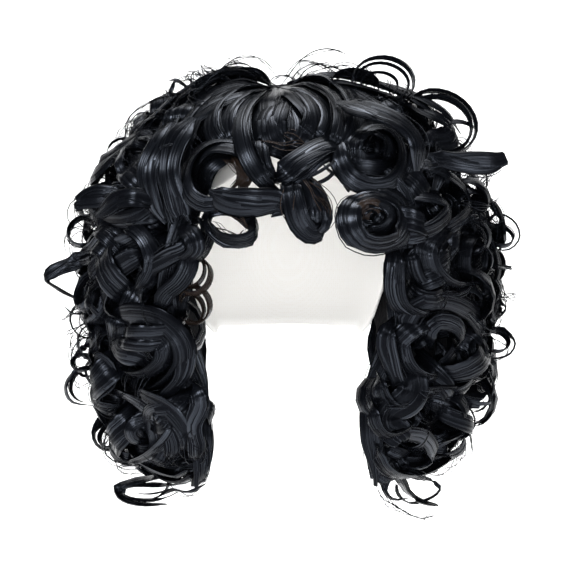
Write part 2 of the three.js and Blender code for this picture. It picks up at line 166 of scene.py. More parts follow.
# A line over the surface: it starts at a level and turn, heads off at an angle from straight down
# and bends or sways on its way
def walkOver(level, turn, heading, bend, length, count, sway=0):
    here, outs = [], []
    step = length / (count - 1)
    phase = rng.uniform(0, 2 * math.pi)
    heading = math.radians(heading)
    for i in range(count):
        point, out, down, aside, perLevel, perTurn = hairFrame(min(level, walk["lowest"]), turn)
        here.append(point - np.array([0, 0, max(level - walk["lowest"], 0) * perLevel]))
        outs.append(out)
        swing = math.radians(sway) * math.sin(phase + i * step / walk["swingEvery"])
        angle = heading + swing
        if level < walk["crown"]:
            going = down * math.cos(angle) + aside * math.sin(angle)
            level, turn = levelTurnAt(*(point + going * step)[:2])
            _, _, down, aside, _, _ = hairFrame(level, turn)
            heading = math.atan2(going @ aside, going @ down) - swing
        else:
            level += math.cos(angle) * step / perLevel
            turn += math.sin(angle) * step / perTurn
        heading += math.radians(bend) / (count - 1)
    return np.array(here), np.array(outs)


# The crown's sides are less full than the rest: hair and core lie lower there by so many millimetres,
# between the turns and levels at which this begins and ends
crownSides = {
    "lower": 14,
    "firstTurns": (25, 60),
    "lastTurns": (115, 140),
    "firstLevels": (0.15, 0.35),
    "lastLevels": (0.78, 1.02),
}


def lessFull(level, turn):
    roundTurn = fromFace(turn)
    aside = smooth(*crownSides["firstTurns"], roundTurn) * (1 - smooth(*crownSides["lastTurns"], roundTurn))
    lower = crownSides["lower"] * (1 - smooth(*crownSides["lastLevels"], level))
    return lower * smooth(*crownSides["firstLevels"], level) * aside


# The lines that the locks follow, gathered before they are made into meshes
def emptyLocks():
    vectors = {"through": [], "across": []}
    numbers = {name: [] for name in ("along", "girth", "gather", "lockWidth", "reach", "warm")}
    return {"points": [], "edges": [], "lockId": [], "count": 0, "vectors": vectors, "numbers": numbers}


hairNodes = [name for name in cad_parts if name.endswith("hair")]
lockLines = {name: emptyLocks() for name in hairNodes}
looseLines = {name: emptyLocks() for name in hairNodes}


# Adds one lock: its line, the way through it, its width, and how thin it is at its tip and root. Girth
# is how fat its clumps are, and gather how far apart. A loose lock is only a few strands.
def addLock(section, path, through, width, tip=0.3, root=0.2, warm=0.0, loose=False):
    locks = (looseLines if loose else lockLines)[section]
    count = len(path)
    along = np.linspace(0, 1, count)
    tangent = unit(np.gradient(path, axis=0))
    through = unit(through - np.sum(through * tangent, axis=1, keepdims=True) * tangent)
    first = len(locks["points"])
    locks["points"].extend(path * mm)
    locks["edges"].extend((first + i, first + i + 1) for i in range(count - 1))
    locks["lockId"].extend([locks["count"]] * count)
    locks["vectors"]["through"].extend(through)
    locks["vectors"]["across"].extend(np.cross(tangent, through))
    steps = np.linalg.norm(np.diff(path, axis=0), axis=1) * mm
    values = {
        "along": along,
        "girth": mix(root, 1, smooth(0, 0.16, along)) * mix(1, tip, smooth(0.72, 1, along)),
        "gather": mix(0.5, 1, smooth(0, 0.18, along)) * mix(1, mix(tip, 1, 0.3), smooth(0.8, 1, along)),
        "lockWidth": np.full(count, width * mm),
        "reach": np.concatenate([[0], np.cumsum(steps)]),
        # how much painted brown backlight the lock carries
        "warm": np.full(count, warm),
    }
    for name, value in values.items():
        locks["numbers"][name].extend(value)
    locks["count"] += 1


# Winds a line round a centre line. Phase 0 lies on the outer side.
def wind(centre, outs, radius, phase):
    tangent = unit(np.gradient(centre, axis=0))
    u = unit(outs - np.sum(outs * tangent, axis=1, keepdims=True) * tangent)
    v = np.cross(tangent, u)
    radial = np.cos(phase)[:, None] * u + np.sin(phase)[:, None] * v
    return centre + radius[:, None] * radial, unit(radial * radius[:, None] + outs * 1.5)


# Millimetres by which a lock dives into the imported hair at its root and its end, and the share of its
# way where the root is out and where the end begins to dive
rootDives = {"ringlet": (14, 0.2), "wave": (20, 0.18), "hook": (10, 0.25), "draped": (12, 0.14)}
endDives = {"wave": (12, 0.85), "draped": (14, 0.84)}


def rootDive(kind, s):
    depth, share = rootDives[kind]
    return depth * (1 - smooth(0, share, s))


def endDive(kind, s):
    depth, share = endDives[kind]
    return depth * smooth(share, 1, s)


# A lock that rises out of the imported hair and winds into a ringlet, straight away or after a share
# of its way over the surface
def ringlet(section, level, turn, heading, length, radius, turns, width, coilFrom=0.0, sink=5, lift=4, rise=0,
            bend=0.0):
    hand, phase = rng.choice([-1, 1]), rng.uniform(0, 2 * math.pi)
    count = int(8 + 8.5 * turns + 12 * coilFrom)
    s = np.linspace(0, 1, count)
    centre, outs = walkOver(level, turn, heading, bend + rng.uniform(-25, 25), length, count)
    coil = smooth(coilFrom, min(coilFrom + 0.22, 1), s)
    height = lift * s**2 - sink
    if coilFrom == 0:
        height -= rootDive("ringlet", s)
    else:
        height += rise * np.sin(math.pi * np.clip(s / coilFrom, 0, 1))
    wound = np.clip((s - coilFrom) / (1 - coilFrom), 0, 1)
    reach = radius * coil * mix(1, 0.7, wound)
    angle = phase + hand * 2 * math.pi * turns * wound
    path, through = wind(centre + outs * height[:, None], outs, reach, angle)
    addLock(section, path, through, width)


# A round curl wound like a spring seen from its end: its barrel leans from straight out
def swirl(section, level, turn, radius, inner, turns, lean, way, width, sink=3, creep=10, **more):
    here, out, down, aside, _, _ = hairFrame(level, turn)
    sideways = down * math.cos(math.radians(way)) + aside * math.sin(math.radians(way))
    axis = out * math.cos(math.radians(lean)) + sideways * math.sin(math.radians(lean))
    count = int(7 + 10 * turns)
    s = np.linspace(0, 1, count)
    centre = here - out * sink + axis * (creep * (s - 0.5))[:, None]
    hand = rng.choice([-1, 1])
    angle = rng.uniform(0, 2 * math.pi) + hand * 2 * math.pi * turns * s
    path, through = wind(centre, np.tile(unit(out + 0.15 * down), (count, 1)), mix(radius, inner, s), angle)
    addLock(section, path, through, width, **more)


# A lock that lies on the surface in an S, broad side out, and dives back in at both ends
def wave(section, level, turn, heading, length, sway, width):
    count = 24
    s = np.linspace(0, 1, count)
    path, outs = walkOver(level, turn, heading, 0, length, count, sway)
    height = 6 - rootDive("wave", s) - endDive("wave", s) + 4 * np.sin(11 * s + rng.uniform(0, 6))
    addLock(section, path + outs * height[:, None], outs, width)


# A lock that runs over the surface and ends in a flat curl, which rolls under
def hook(section, level, turn, heading, length, radius, turns, width, sink=3, rise=6, bend=0.0):
    lead = 14
    centre, outs = walkOver(level, turn, heading, bend, length, lead)
    s = np.linspace(0, 1, lead)
    run = centre + outs * (rise * np.sin(math.pi * s) - sink - rootDive("hook", s))[:, None]
    tangent, out = unit(run[-1] - run[-2]), outs[-1]
    out = unit(out - out @ tangent * tangent)
    side = np.cross(tangent, out)
    wound = np.linspace(0, 1, int(6 + 13 * turns))[1:]
    angle = 2 * math.pi * turns * wound
    reach = radius * mix(1, 0.6, wound)
    curl = run[-1] - out * radius + (np.cos(angle) * reach)[:, None] * out
    curl = curl + (np.sin(angle) * reach)[:, None] * tangent
    curl += side * (rng.uniform(-12, 12) * wound)[:, None]
    radial = np.cos(angle)[:, None] * out + np.sin(angle)[:, None] * tangent
    addLock(section, np.vstack([run, curl]), np.vstack([outs, radial]), width)


# The camera looks along +Y at the middle of the photo's frame. Its aim and distance are in millimetres,
# and x = 0 and z = 0 on the plane y = 0 are seen at the pixel px, py.
view = {"aimX": -1, "aimZ": -141, "distance": 1600, "mmPerPixel": 0.74, "px": 288, "py": 96}


# The place at depth y that the camera sees at x and z on the plane y = 0
def seen(x, z, y):
    aimX, aimZ, nearer = view["aimX"], view["aimZ"], 1 + y / view["distance"]
    return np.array([aimX + (x - aimX) * nearer, y, aimZ + (z - aimZ) * nearer])


# A round or oval loop, given by where it is seen. With no turn or tilt its barrel points at the
# camera, and its angles run from the right over the top.
def loop(section, x, z, y, radius, start, sweep, width, turn, tilt, oval, inner, roll=0, creep=6, warm=0.0):
    flat = math.cos(math.radians(tilt))
    ahead, aside = math.cos(math.radians(turn)), math.sin(math.radians(turn))
    axis = np.array([aside * flat, -ahead * flat, math.sin(math.radians(tilt))])
    v = unit(np.array([0, 0, 1.0]) - axis[2] * axis)
    u = np.cross(v, axis)
    a, b = math.cos(math.radians(roll)), math.sin(math.radians(roll))
    u, v = u * a + v * b, v * a - u * b
    count = int(9 + abs(sweep) / 24)
    s = np.linspace(0, 1, count)
    angle = np.radians(start + sweep * s)
    radial = np.cos(angle)[:, None] * u + (oval * np.sin(angle))[:, None] * v
    path = seen(x, z, y) + radial * (radius * mix(1, inner, s))[:, None] + axis * (creep * (s - 0.5))[:, None]
    # a loop may carry painted brown backlight
    addLock(section, path, unit(radial), width, warm=warm)


# A smooth line through a few places
def spline(places, count):
    places = np.array(places, float)
    ends = np.vstack([2 * places[0] - places[1], places, 2 * places[-1] - places[-2]])
    path = []
    for t in np.linspace(0, len(places) - 1.0001, count):
        f = t % 1
        a, b, c, d = ends[int(t) : int(t) + 4]
        path.append(b + 0.5 * f * (c - a + f * (2 * a - 5 * b + 4 * c - d + f * (3 * b - a - 3 * c + d))))
    return np.array(path)


# A lock through places given by where they are seen: x, z and the depth y. Its broad side faces away
# from a point inside its bend.
def bowed(section, places, inside, width, tip=0.3, **more):
    path = spline([seen(*place) for place in places], 24)
    addLock(section, path, unit(path - seen(*inside)), width, tip, **more)


# How deep the front surface of the hair lies behind a place that is seen at x and z
def frontDepth(x, z):
    level = 1 + max(-z - shape["headHeight"], 0) / (shape["sideLength"] - shape["headHeight"])
    height = max(z + shape["headHeight"], 0) / (shape["headHeight"] + shape["crownLift"])
    side = x / (shape["halfWidth"] * rowAt("width", level))
    return -shape["front"] * rowAt("front", level) * math.sqrt(max(1 - height**2 - side**2, 0.03))


# A lock that lies on the front surface, traced through the places of the photo that it passes, in
# pixels. It comes up out of the hair at its root and dives back in at its end, unless it is free. Its
# broad side faces out and leans away from the middle of its bend.
def draped(section, lift, width, trace, free=False, **more):
    perPixel = view["mmPerPixel"]
    places = [((px - view["px"]) * perPixel, (view["py"] - py) * perPixel) for px, py in trace]
    length = sum(math.dist(a, b) for a, b in zip(places, places[1:]))
    count = int(6 + length / 7)
    flat = spline([(x, 0, z) for x, z in places], count)
    s = np.linspace(0, 1, count)
    height = lift + 4 * np.sin(math.pi * s) - rootDive("draped", s)
    height += rng.uniform(2.0, 4.0) * np.sin(rng.uniform(0.04, 0.07) * length * s + rng.uniform(0, 6))
    if not free:
        height -= endDive("draped", s)
    path = np.array([seen(x, z, frontDepth(x, z) - h) for (x, _, z), h in zip(flat, height)])
    reach = np.array([shape["halfWidth"], shape["front"], shape["headHeight"]])
    up = np.array([0, 0, 1 / reach[2]])
    out = unit(np.array([point / reach**2 + up * (point[2] > -shape["headHeight"]) for point in path]))
    around = unit(path - path.mean(axis=0))
    addLock(section, path, unit(out + 0.7 * around), width, **more)


# Holes of the outline's open loops, in pixels of the photo: centre and radius. Locks that are placed by
# rule start outside them, where they lie within some millimetres of the outline's plane.
windowDepth = 60
openWindows = [
    (446, 112, 32), (388, 76, 22), (146, 104, 16), (80, 231, 14), (62, 278, 14), (76, 362, 12),
    (98, 434, 12), (508, 234, 16), (494, 310, 10), (504, 345, 12), (484, 384, 12), (472, 408, 10),
    (466, 446, 12), (74, 320, 10),
]


def inWindow(point, room=0):
    if abs(point[1]) > windowDepth:
        return False
    nearer = 1 + point[1] / view["distance"]
    px = view["px"] + ((point[0] - view["aimX"]) / nearer + view["aimX"]) / view["mmPerPixel"]
    py = view["py"] - ((point[2] - view["aimZ"]) / nearer + view["aimZ"]) / view["mmPerPixel"]
    return any(math.hypot(px - x, py - y) < radius + room for x, y, radius in openWindows)


def sectionAt(level, turn):
    x, y, z = hairPoint(min(level, walk["lowest"]), turn)
    if z > -shape["crownDrop"]:
        return "crown_left_hair" if x < shape["partingX"] else "crown_right_hair"
    if y > shape["backStart"]:
        return "back_hair"
    return "side_left_hair" if x < 0 else "side_right_hair"


# One node of a geometry or a shader tree. A value that is another node's output is linked, and any
# other value is set, as a property or on the input of that name or number.
def addNode(tree, kind, values=None):
    node = tree.nodes.new(kind)
    for key, value in (values or {}).items():
        if isinstance(value, bpy.types.NodeSocket):
            tree.links.new(value, node.inputs[key])
        elif isinstance(key, str) and hasattr(node, key):
            setattr(node, key, value)
        else:
            node.inputs[key].default_value = value
    return node


def mathNode(tree, operation, *values):
    return addNode(tree, "ShaderNodeMath", {"operation": operation, **dict(enumerate(values))}).outputs[0]


def vectorNode(tree, operation, values):
    return addNode(tree, "ShaderNodeVectorMath", {"operation": operation, **values}).outputs


def mixNode(tree, kind, factor, a, b):
    first, output = {"VECTOR": (4, 1), "RGBA": (6, 2)}[kind]
    values = {"data_type": kind, 0: factor, first: a, first + 1: b}
    return addNode(tree, "ShaderNodeMix", values).outputs[output]


# Noise drawn out by a scale for each axis
def streakNode(tree, place, scale):
    drawn = vectorNode(tree, "MULTIPLY", {0: place, 1: scale})[0]
    return addNode(tree, "ShaderNodeTexNoise", {"Scale": 1.0, "Detail": 2.0, "Vector": drawn}).outputs["Fac"]


def mapRange(tree, value, start=(0.0, 1.0), end=(0.0, 1.0)):
    ends = {"From Min": start[0], "From Max": start[1], "To Min": end[0], "To Max": end[1]}
    return addNode(tree, "ShaderNodeMapRange", {**ends, "Value": value}).outputs[0]


def newMaterial(name):
    material = bpy.data.materials.new(name)
    material.use_nodes = True
    return material, material.node_tree


# An sRGB hex colour as linear numbers
def linear(code):
    channels = [int(code[i : i + 2], 16) / 255 for i in (1, 3, 5)]
    return [c / 12.92 if c <= 0.04045 else ((c + 0.055) / 1.055) ** 2.4 for c in channels] + [1.0]


hairFinish = {
    "dark": "#07080b",
    "light": "#0b0d11",
    # painted brown backlight, for light shining through thin strands, not the fibre's own colour
    "warm": "#30261f",
    "roughness": 0.26,
    "flatness": 0.62,
    "coarse": (2.6, 1.0, 9.0),  # streaks of about 2 mm and of 0.8 mm, drawn out along the lock
    "fine": (7.0, 2.0, 16.0),
    "streakRange": (0.9, 1.25),  # of the two streaks' sum, from dull to bright
    "bump": 0.35,
    "bumpDepth": 0.8 * mm,
    "anisotropic": 0.65,
    "specular": (0.03, 0.54),
    # for the export, which leaves out a specular level that is linked
    "plainSpecular": 0.3,  # the socket's own value, which the linked specular level covers
    "tint": "#dde9ff",
}
packedFinish = {
    "colour": "#0b0c0f",
    "specular": 0.12,
    "grain": (700, 700, 60),
    "roughness": (0.6, 0.95),
    "bump": 0.8,
    "bumpDepth": 1.0 * mm,
}


# Modacrylic fibre, drawn and steam curled: near black with a cool sheen that runs across each lock
# in fine streaks, and a painted brown backlight where only a few strands are left, for light that shines
# through thin hair
def makeHairMaterial():
    material, tree = newMaterial("modacrylicFibreSteamCurled")
    tree.nodes.clear()

    def stored(name, output="Fac"):
        return addNode(tree, "ShaderNodeAttribute", {"attribute_name": name}).outputs[output]

    def inWorld(name):
        change = {"vector_type": "NORMAL", "convert_from": "OBJECT", "convert_to": "WORLD"}
        return addNode(tree, "ShaderNodeVectorTransform", {**change, 0: stored(name, "Vector")}).outputs[0]

    # The sheen is that of fibres that lie flat in the lock, so most of the normal is the lock's own
    through = inWorld("through")
    facing = addNode(tree, "ShaderNodeNewGeometry").outputs["Normal"]
    side = mathNode(tree, "SIGN", vectorNode(tree, "DOT_PRODUCT", {0: facing, 1: through})["Value"])
    flat = vectorNode(tree, "SCALE", {0: through, "Scale": side})[0]
    mixed = mixNode(tree, "VECTOR", hairFinish["flatness"], facing, flat)
    normal = vectorNode(tree, "NORMALIZE", {0: mixed})[0]
    strand = stored("strand", "Vector")
    both = mathNode(tree, "ADD", *(streakNode(tree, strand, hairFinish[name]) for name in ("coarse", "fine")))
    tone = mathNode(tree, "MULTIPLY", mapRange(tree, both, hairFinish["streakRange"]), stored("shade"))
    dark, light, warm = (linear(hairFinish[name]) for name in ("dark", "light", "warm"))
    # brown mixed in by each strand's stored amount of painted backlight
    colour = mixNode(tree, "RGBA", stored("warm"), mixNode(tree, "RGBA", tone, dark, light), warm)
    depth = {"Strength": hairFinish["bump"], "Distance": hairFinish["bumpDepth"]}
    bump = addNode(tree, "ShaderNodeBump", {**depth, "Height": both, "Normal": normal})
    fibre = addNode(
        tree,
        "ShaderNodeBsdfPrincipled",
        {
            "Base Color": colour,
            "IOR": 1.55,
            "Roughness": hairFinish["roughness"],
            "Specular IOR Level": hairFinish["plainSpecular"],
            "Specular Tint": linear(hairFinish["tint"]),
            "Anisotropic": hairFinish["anisotropic"],
            "Normal": bump.outputs[0],
            "Tangent": inWorld("across"),
        },
    )
    tree.links.new(mapRange(tree, tone, end=hairFinish["specular"]), fibre.inputs["Specular IOR Level"])
    addNode(tree, "ShaderNodeOutputMaterial", {"Surface": fibre.outputs[0]})
    return material


# The same fibre packed close under the locks: it only shows between them, black and without sheen
def makePackedMaterial():
    material, tree = newMaterial("modacrylicFibrePacked")
    fibre = tree.nodes["Principled BSDF"]
    fibre.inputs["Base Color"].default_value = linear(packedFinish["colour"])
    fibre.inputs["Specular IOR Level"].default_value = packedFinish["specular"]
    place = addNode(tree, "ShaderNodeTexCoord").outputs["Object"]
    grain = streakNode(tree, place, packedFinish["grain"])
    depth = {"Strength": packedFinish["bump"], "Distance": packedFinish["bumpDepth"]}
    bump = addNode(tree, "ShaderNodeBump", {**depth, "Height": grain})
    tree.links.new(mapRange(tree, grain, end=packedFinish["roughness"]), fibre.inputs["Roughness"])
    tree.links.new(bump.outputs[0], fibre.inputs["Normal"])
    return material


# The tree that turns the lines into locks: each line becomes a few flat clumps side by side, and
# some finer strands that stray from them
lockSizes = {
    "Clumps": 3,
    "Clump Sides": 5,
    "Clump Overlap": 2.3,
    "Clump Flatness": 0.3,
    "Clump Stray": 0.12,
    "Strands": 5,
    "Strand Sides": 3,
    "Strand Flatness": 1.0,
    "Strand Width": 0.8 * mm,
    "Strand Stray": 0.15,
    "Seed": 11,
}

# How far across their lock clumps and strands spread, as a share of its width, how much of their stray
# goes into a slow wander and into depth, and how each one's end, tone and thickness vary
lockSpread = {"Clump": 0.6, "Strand": 1.04, "wander": 0.6, "depth": 0.4, "bends": 8.0}
lockChange = {"end": (0.94, 0.06), "shade": (0.6, 0.4), "girth": (1.0, 0.25)}

# Strands that have left their lock
looseSizes = {"Clumps": 0, "Strands": 4, "Strand Width": 0.6 * mm, "Strand Stray": 0.5, "Seed": 23}


def makeLockTree():
    tree = bpy.data.node_groups.new("curledLocks", "GeometryNodeTree")
    tree.interface.new_socket("Geometry", in_out="INPUT", socket_type="NodeSocketGeometry")
    for name, value in lockSizes.items():
        kind = "NodeSocketInt" if isinstance(value, int) else "NodeSocketFloat"
        tree.interface.new_socket(name, in_out="INPUT", socket_type=kind).default_value = value
    tree.interface.new_socket("Hair", in_out="INPUT", socket_type="NodeSocketMaterial")
    tree.interface.new_socket("Geometry", in_out="OUTPUT", socket_type="NodeSocketGeometry")
    inputs = addNode(tree, "NodeGroupInput").outputs

    def made(kind, values=None):
        return addNode(tree, "GeometryNode" + kind, values).outputs[0]

    def named(name, kind="FLOAT"):
        return made("InputNamedAttribute", {"data_type": kind, "Name": name})

    def compute(operation, *values):
        return mathNode(tree, operation, *values)

    def times(*values):
        total = values[0]
        for value in values[1:]:
            total = compute("MULTIPLY", total, value)
        return total

    def scaled(vector, amount):
        return vectorNode(tree, "SCALE", {0: vector, "Scale": amount})[0]

    def combined(x, y, z):
        return addNode(tree, "ShaderNodeCombineXYZ", {"X": x, "Y": y, "Z": z}).outputs[0]

    curves = made("MeshToCurve", {"Mesh": inputs["Geometry"]})
    width = named("lockWidth")
    gathered = times(width, named("gather"))

    # One set of tubes along the lines, each copy with an offset, a wander and a width of its own
    def tubes(kind, salt, halfWidth):
        count, sides, straying = inputs[kind + "s"], inputs[kind + " Sides"], inputs[kind + " Stray"]
        copying = {"domain": "SPLINE", "Geometry": curves, "Amount": count}
        copies = addNode(tree, "GeometryNodeDuplicateElements", copying).outputs
        index = copies["Duplicate Index"]
        ident = compute("ADD", times(named("lockId", "INT"), 37), times(index, 5))

        def chance(extra):
            seed = compute("ADD", inputs["Seed"], salt + extra)
            random = {"data_type": "FLOAT", 2: -1.0, 3: 1.0, "ID": ident, "Seed": seed}
            return addNode(tree, "FunctionNodeRandomValue", random).outputs[1]

        def varied(name, extra, operation="ADD"):
            usual, change = lockChange[name]
            return compute(operation, usual, times(chance(extra), change))

        share = compute("SUBTRACT", compute("DIVIDE", compute("ADD", index, 0.5), count), 0.5)
        swing = compute("ADD", times(named("along"), lockSpread["bends"]), times(chance(1), 3.14))
        side = compute("ADD", times(share, lockSpread[kind]), times(chance(2), straying))
        side = compute("ADD", side, times(compute("SINE", swing), straying, lockSpread["wander"]))
        deep = times(compute("ADD", chance(3), compute("COSINE", swing)), straying, lockSpread["depth"])
        across, through = named("across", "FLOAT_VECTOR"), named("through", "FLOAT_VECTOR")
        both = {0: scaled(across, times(side, gathered)), 1: scaled(through, times(deep, gathered))}
        offset = vectorNode(tree, "ADD", both)[0]
        curve = made("SetPosition", {"Geometry": copies[0], "Offset": offset})
        curve = made("TrimCurve", {"mode": "FACTOR", "Curve": curve, "End": varied("end", 6, "SUBTRACT")})
        shade = {"data_type": "FLOAT", "domain": "POINT", "Name": "shade", "Value": varied("shade", 5)}
        curve = made("StoreNamedAttribute", {**shade, "Geometry": curve})
        curve = made("SetCurveNormal", {"mode": "FREE", "Curve": curve, "Normal": through})
        profile = made("CurvePrimitiveCircle", {"Radius": 1.0, "Resolution": sides})
        turned = combined(0.0, 0.0, compute("DIVIDE", math.pi, sides))
        profile = made("Transform", {"Geometry": profile, "Rotation": turned})
        flat = combined(inputs[kind + " Flatness"], 1.0, 1.0)
        profile = made("Transform", {"Geometry": profile, "Scale": flat})
        captured = addNode(tree, "GeometryNodeCaptureAttribute", {"domain": "POINT", "Geometry": profile})
        captured.capture_items.new("VECTOR", "round")
        tree.links.new(made("InputPosition"), captured.inputs[1])
        fat = times(halfWidth, named("girth"), varied("girth", 4))
        swept = {"Fill Caps": True, "Curve": curve, "Profile Curve": captured.outputs[0], "Scale": fat}
        tube = made("CurveToMesh", swept)
        # Where a place lies in the lock: round the tube, a different part for each tube, and along it
        place = addNode(tree, "ShaderNodeSeparateXYZ", {0: captured.outputs[1]}).outputs
        x, y = compute("ADD", place["Y"], times(share, 8.0)), compute("ADD", place["X"], times(ident, 3.7))
        strand = {"data_type": "FLOAT_VECTOR", "domain": "POINT", "Name": "strand"}
        strand["Value"] = combined(x, y, named("reach"))
        return made("StoreNamedAttribute", {**strand, "Geometry": tube})

    clumpHalf = compute("DIVIDE", times(width, inputs["Clump Overlap"]), times(inputs["Clumps"], 2.0))
    joined = addNode(tree, "GeometryNodeJoinGeometry")
    tree.links.new(tubes("Strand", 50, times(inputs["Strand Width"], 0.5)), joined.inputs[0])
    tree.links.new(tubes("Clump", 0, clumpHalf), joined.inputs[0])
    soft = made("SetShadeSmooth", {"Geometry": joined.outputs[0]})
    real = made("RealizeInstances", {"Geometry": soft})
    finished = made("SetMaterial", {"Geometry": real, "Material": inputs["Hair"]})
    addNode(tree, "NodeGroupOutput", {0: finished})
    return tree


# The locks of one section as a plain mesh
def lockMesh(name, locks, sizes):
    mesh = bpy.data.meshes.new(name)
    mesh.from_pydata(locks["points"], locks["edges"], [])
    for key, values in locks["vectors"].items():
        flat = np.array(values, float).ravel()
        mesh.attributes.new(key, "FLOAT_VECTOR", "POINT").data.foreach_set("vector", flat)
    for key, values in locks["numbers"].items():
        mesh.attributes.new(key, "FLOAT", "POINT").data.foreach_set("value", np.array(values, float))
    mesh.attributes.new("lockId", "INT", "POINT").data.foreach_set("value", np.array(locks["lockId"], int))
    lines = bpy.data.objects.new(name, mesh)
    bpy.context.scene.collection.objects.link(lines)
    modifier = lines.modifiers.new("locks", "NODES")
    modifier.node_group = lockTree
    chosen = {**lockSizes, **sizes, "Hair": hairMaterial}
    for item in lockTree.interface.items_tree:
        if item.in_out == "INPUT" and item.name in chosen:
            modifier[item.identifier] = chosen[item.name]
    depsgraph = bpy.context.evaluated_depsgraph_get()
    finished = bpy.data.meshes.new_from_object(lines.evaluated_get(depsgraph), depsgraph=depsgraph)
    bpy.data.objects.remove(lines)
    return finished


hairMaterial = makeHairMaterial()
packedMaterial = makePackedMaterial()
lockTree = makeLockTree()
print("materials and lock tree made")

# Locks that fan out from the parting over the crown and end in a curl
crownArcs = {
    "layers": 3,
    "rows": 8,
    "fromY": -46,
    "toY": 74,
    "width": (12, 18),
    "length": (70, 120),
    "radius": (13, 19),
    "fromParting": (2, 16, 30),
    "rise": {-1: (6, 8, 0), 1: (2, 3, 2)},  # by side, for the layers away from the parting
    "sink": {-1: (3, 8, 14), 1: (6, 11, 17)},
}


def makeCrownArcs():
    for side, section in ((-1, "crown_left_hair"), (1, "crown_right_hair")):
        for layer in range(crownArcs["layers"]):
            for i in range(crownArcs["rows"]):
                t = (i + 0.33 * layer) / (crownArcs["rows"] - 1)
                y = mix(crownArcs["fromY"], crownArcs["toY"], t)
                level, turn = levelTurnAt(shape["partingX"] + side * crownArcs["fromParting"][layer], y)
                _, _, down, aside, _, _ = hairFrame(level, turn)
                want = np.array([side, mix(-0.3, 0.8, t), 0])
                heading = math.degrees(math.atan2(want @ aside, want @ down)) + rng.uniform(-14, 14)
                length = rng.uniform(*crownArcs["length"])
                radius = rng.uniform(*crownArcs["radius"])
                width = rng.uniform(*crownArcs["width"])
                bend = side * rng.uniform(-60, 20) * (1 if y < 0 else -0.6)
                sink = crownArcs["sink"][side][layer]
                rise = crownArcs["rise"][side][layer] * rng.uniform(0.6, 1.1)
                if rng.random() < 0.5:
                    ringlet(section, level, turn, heading, length, radius, rng.uniform(1.0, 1.7), width,
                            coilFrom=rng.uniform(0.4, 0.6), sink=sink, rise=rise, bend=bend)
                else:
                    hook(section, level, turn, heading, length * 0.6, radius, rng.uniform(1.0, 1.5), width,
                         sink=sink, rise=rise, bend=bend)


# Round curls, ringlets and waves of random lie, a curl's width apart all over. The under layer
# fills what shows between those on top, and few of the top ones lie in front, where locks are traced.
massCurls = {
    "layers": [
        {"spacing": 27, "levels": (0.3, 1.84), "sink": 4, "width": (12, 17), "tries": 6000},
        {"spacing": 34, "levels": (0.3, 1.88), "sink": 14, "width": (14, 19), "tries": 3000},
    ],
    "length": (52, 84),
    "radius": (15, 21),
    "hemSink": 9,
    "hemShorter": 0.3,
    "swirls": 0.42,  # shares of the kinds
    "ringlets": 0.42,
    "windowRoom": 16,
    "tracedTurn": 64,
    "leftOutThere": 0.75,
}


def faceTurn(level):
    return 38 if level < 0.62 else rowAt("atOutside", level) + 2


# A heading for a lock of some length that keeps it above the hem
def headingAbove(level, turn, length, radius, widest):
    room = hemDrop(turn) + 6 - radius + hairPoint(level, turn)[2]
    least = math.degrees(math.acos(np.clip(room / length, -0.3, 1)))
    side = math.copysign(1, turn) if abs(turn) < faceTurn(level) + 16 else rng.choice([-1, 1])
    return side * rng.uniform(least, max(widest, least + 20))


def makeMassCurls():
    for layer in massCurls["layers"]:
        taken = np.empty((0, 3))
        for _ in range(layer["tries"]):
            level, turn = rng.uniform(*layer["levels"]), rng.uniform(-180, 180)
            here = hairPoint(level, turn)
            if abs(turn) < faceTurn(level) or here[2] < 14 - hemDrop(turn):
                continue
            top = layer is massCurls["layers"][0]
            if inWindow(here, massCurls["windowRoom"] if top else 0):
                continue
            if top and abs(turn) < massCurls["tracedTurn"] and rng.random() < massCurls["leftOutThere"]:
                continue
            if len(taken) and np.min(np.linalg.norm(taken - here, axis=1)) < layer["spacing"]:
                continue
            taken = np.vstack([taken, here])
            section = sectionAt(level, turn)
            width = rng.uniform(*layer["width"])
            low = smooth(1.5, 1.75, level)
            sink = layer["sink"] + massCurls["hemSink"] * low + lessFull(level, turn)
            shorter = 1 - massCurls["hemShorter"] * low
            radius = rng.uniform(*massCurls["radius"]) * shorter
            length = rng.uniform(*massCurls["length"]) * shorter
            kind = rng.random()
            if kind < massCurls["swirls"]:
                swirl(section, level, turn, radius * 1.2, rng.uniform(7, 12) * shorter, rng.uniform(1.1, 1.7),
                      rng.uniform(10, 50), rng.uniform(0, 360), width, sink=sink, creep=rng.uniform(6, 16))
            elif kind < massCurls["swirls"] + massCurls["ringlets"]:
                heading = headingAbove(level, turn, length, radius, 70)
                ringlet(section, level, turn, heading, length, radius, rng.uniform(1.3, 2.2), width,
                        sink=sink)
            else:
                length *= 1.3
                heading = headingAbove(level, turn, length, 8, 50)
                wave(section, level, turn, heading, length, rng.uniform(45, 75), width)


# Narrow ringlets along the hem, in rows at a height above it, between two turns
hemRinglets = [
    {"above": 46, "from": 48, "to": 176, "count": 16, "length": (34, 46), "radius": (10, 14)},
    {"above": 30, "from": 50, "to": 174, "count": 15, "length": (28, 38), "radius": (9, 13)},
    {"above": 15, "from": 54, "to": 176, "count": 14, "length": (22, 30), "radius": (8, 11)},
]


def makeHemRinglets():
    for side in (-1, 1):
        for row in hemRinglets:
            for i in range(row["count"]):
                turn = side * (mix(row["from"], row["to"], i / (row["count"] - 1)) + rng.uniform(-3, 3))
                level = 2 - row["above"] / (hemDrop(turn) - shape["headHeight"])
                length, radius = rng.uniform(*row["length"]), rng.uniform(*row["radius"])
                heading = headingAbove(level, turn, length, 2, 30)
                ringlet(sectionAt(level, turn), level, turn, heading, length, radius, rng.uniform(1.4, 2.1),
                        rng.uniform(8, 12), sink=11, lift=-3)


sideSections = ((-1, "side_left_hair"), (1, "side_right_hair"))

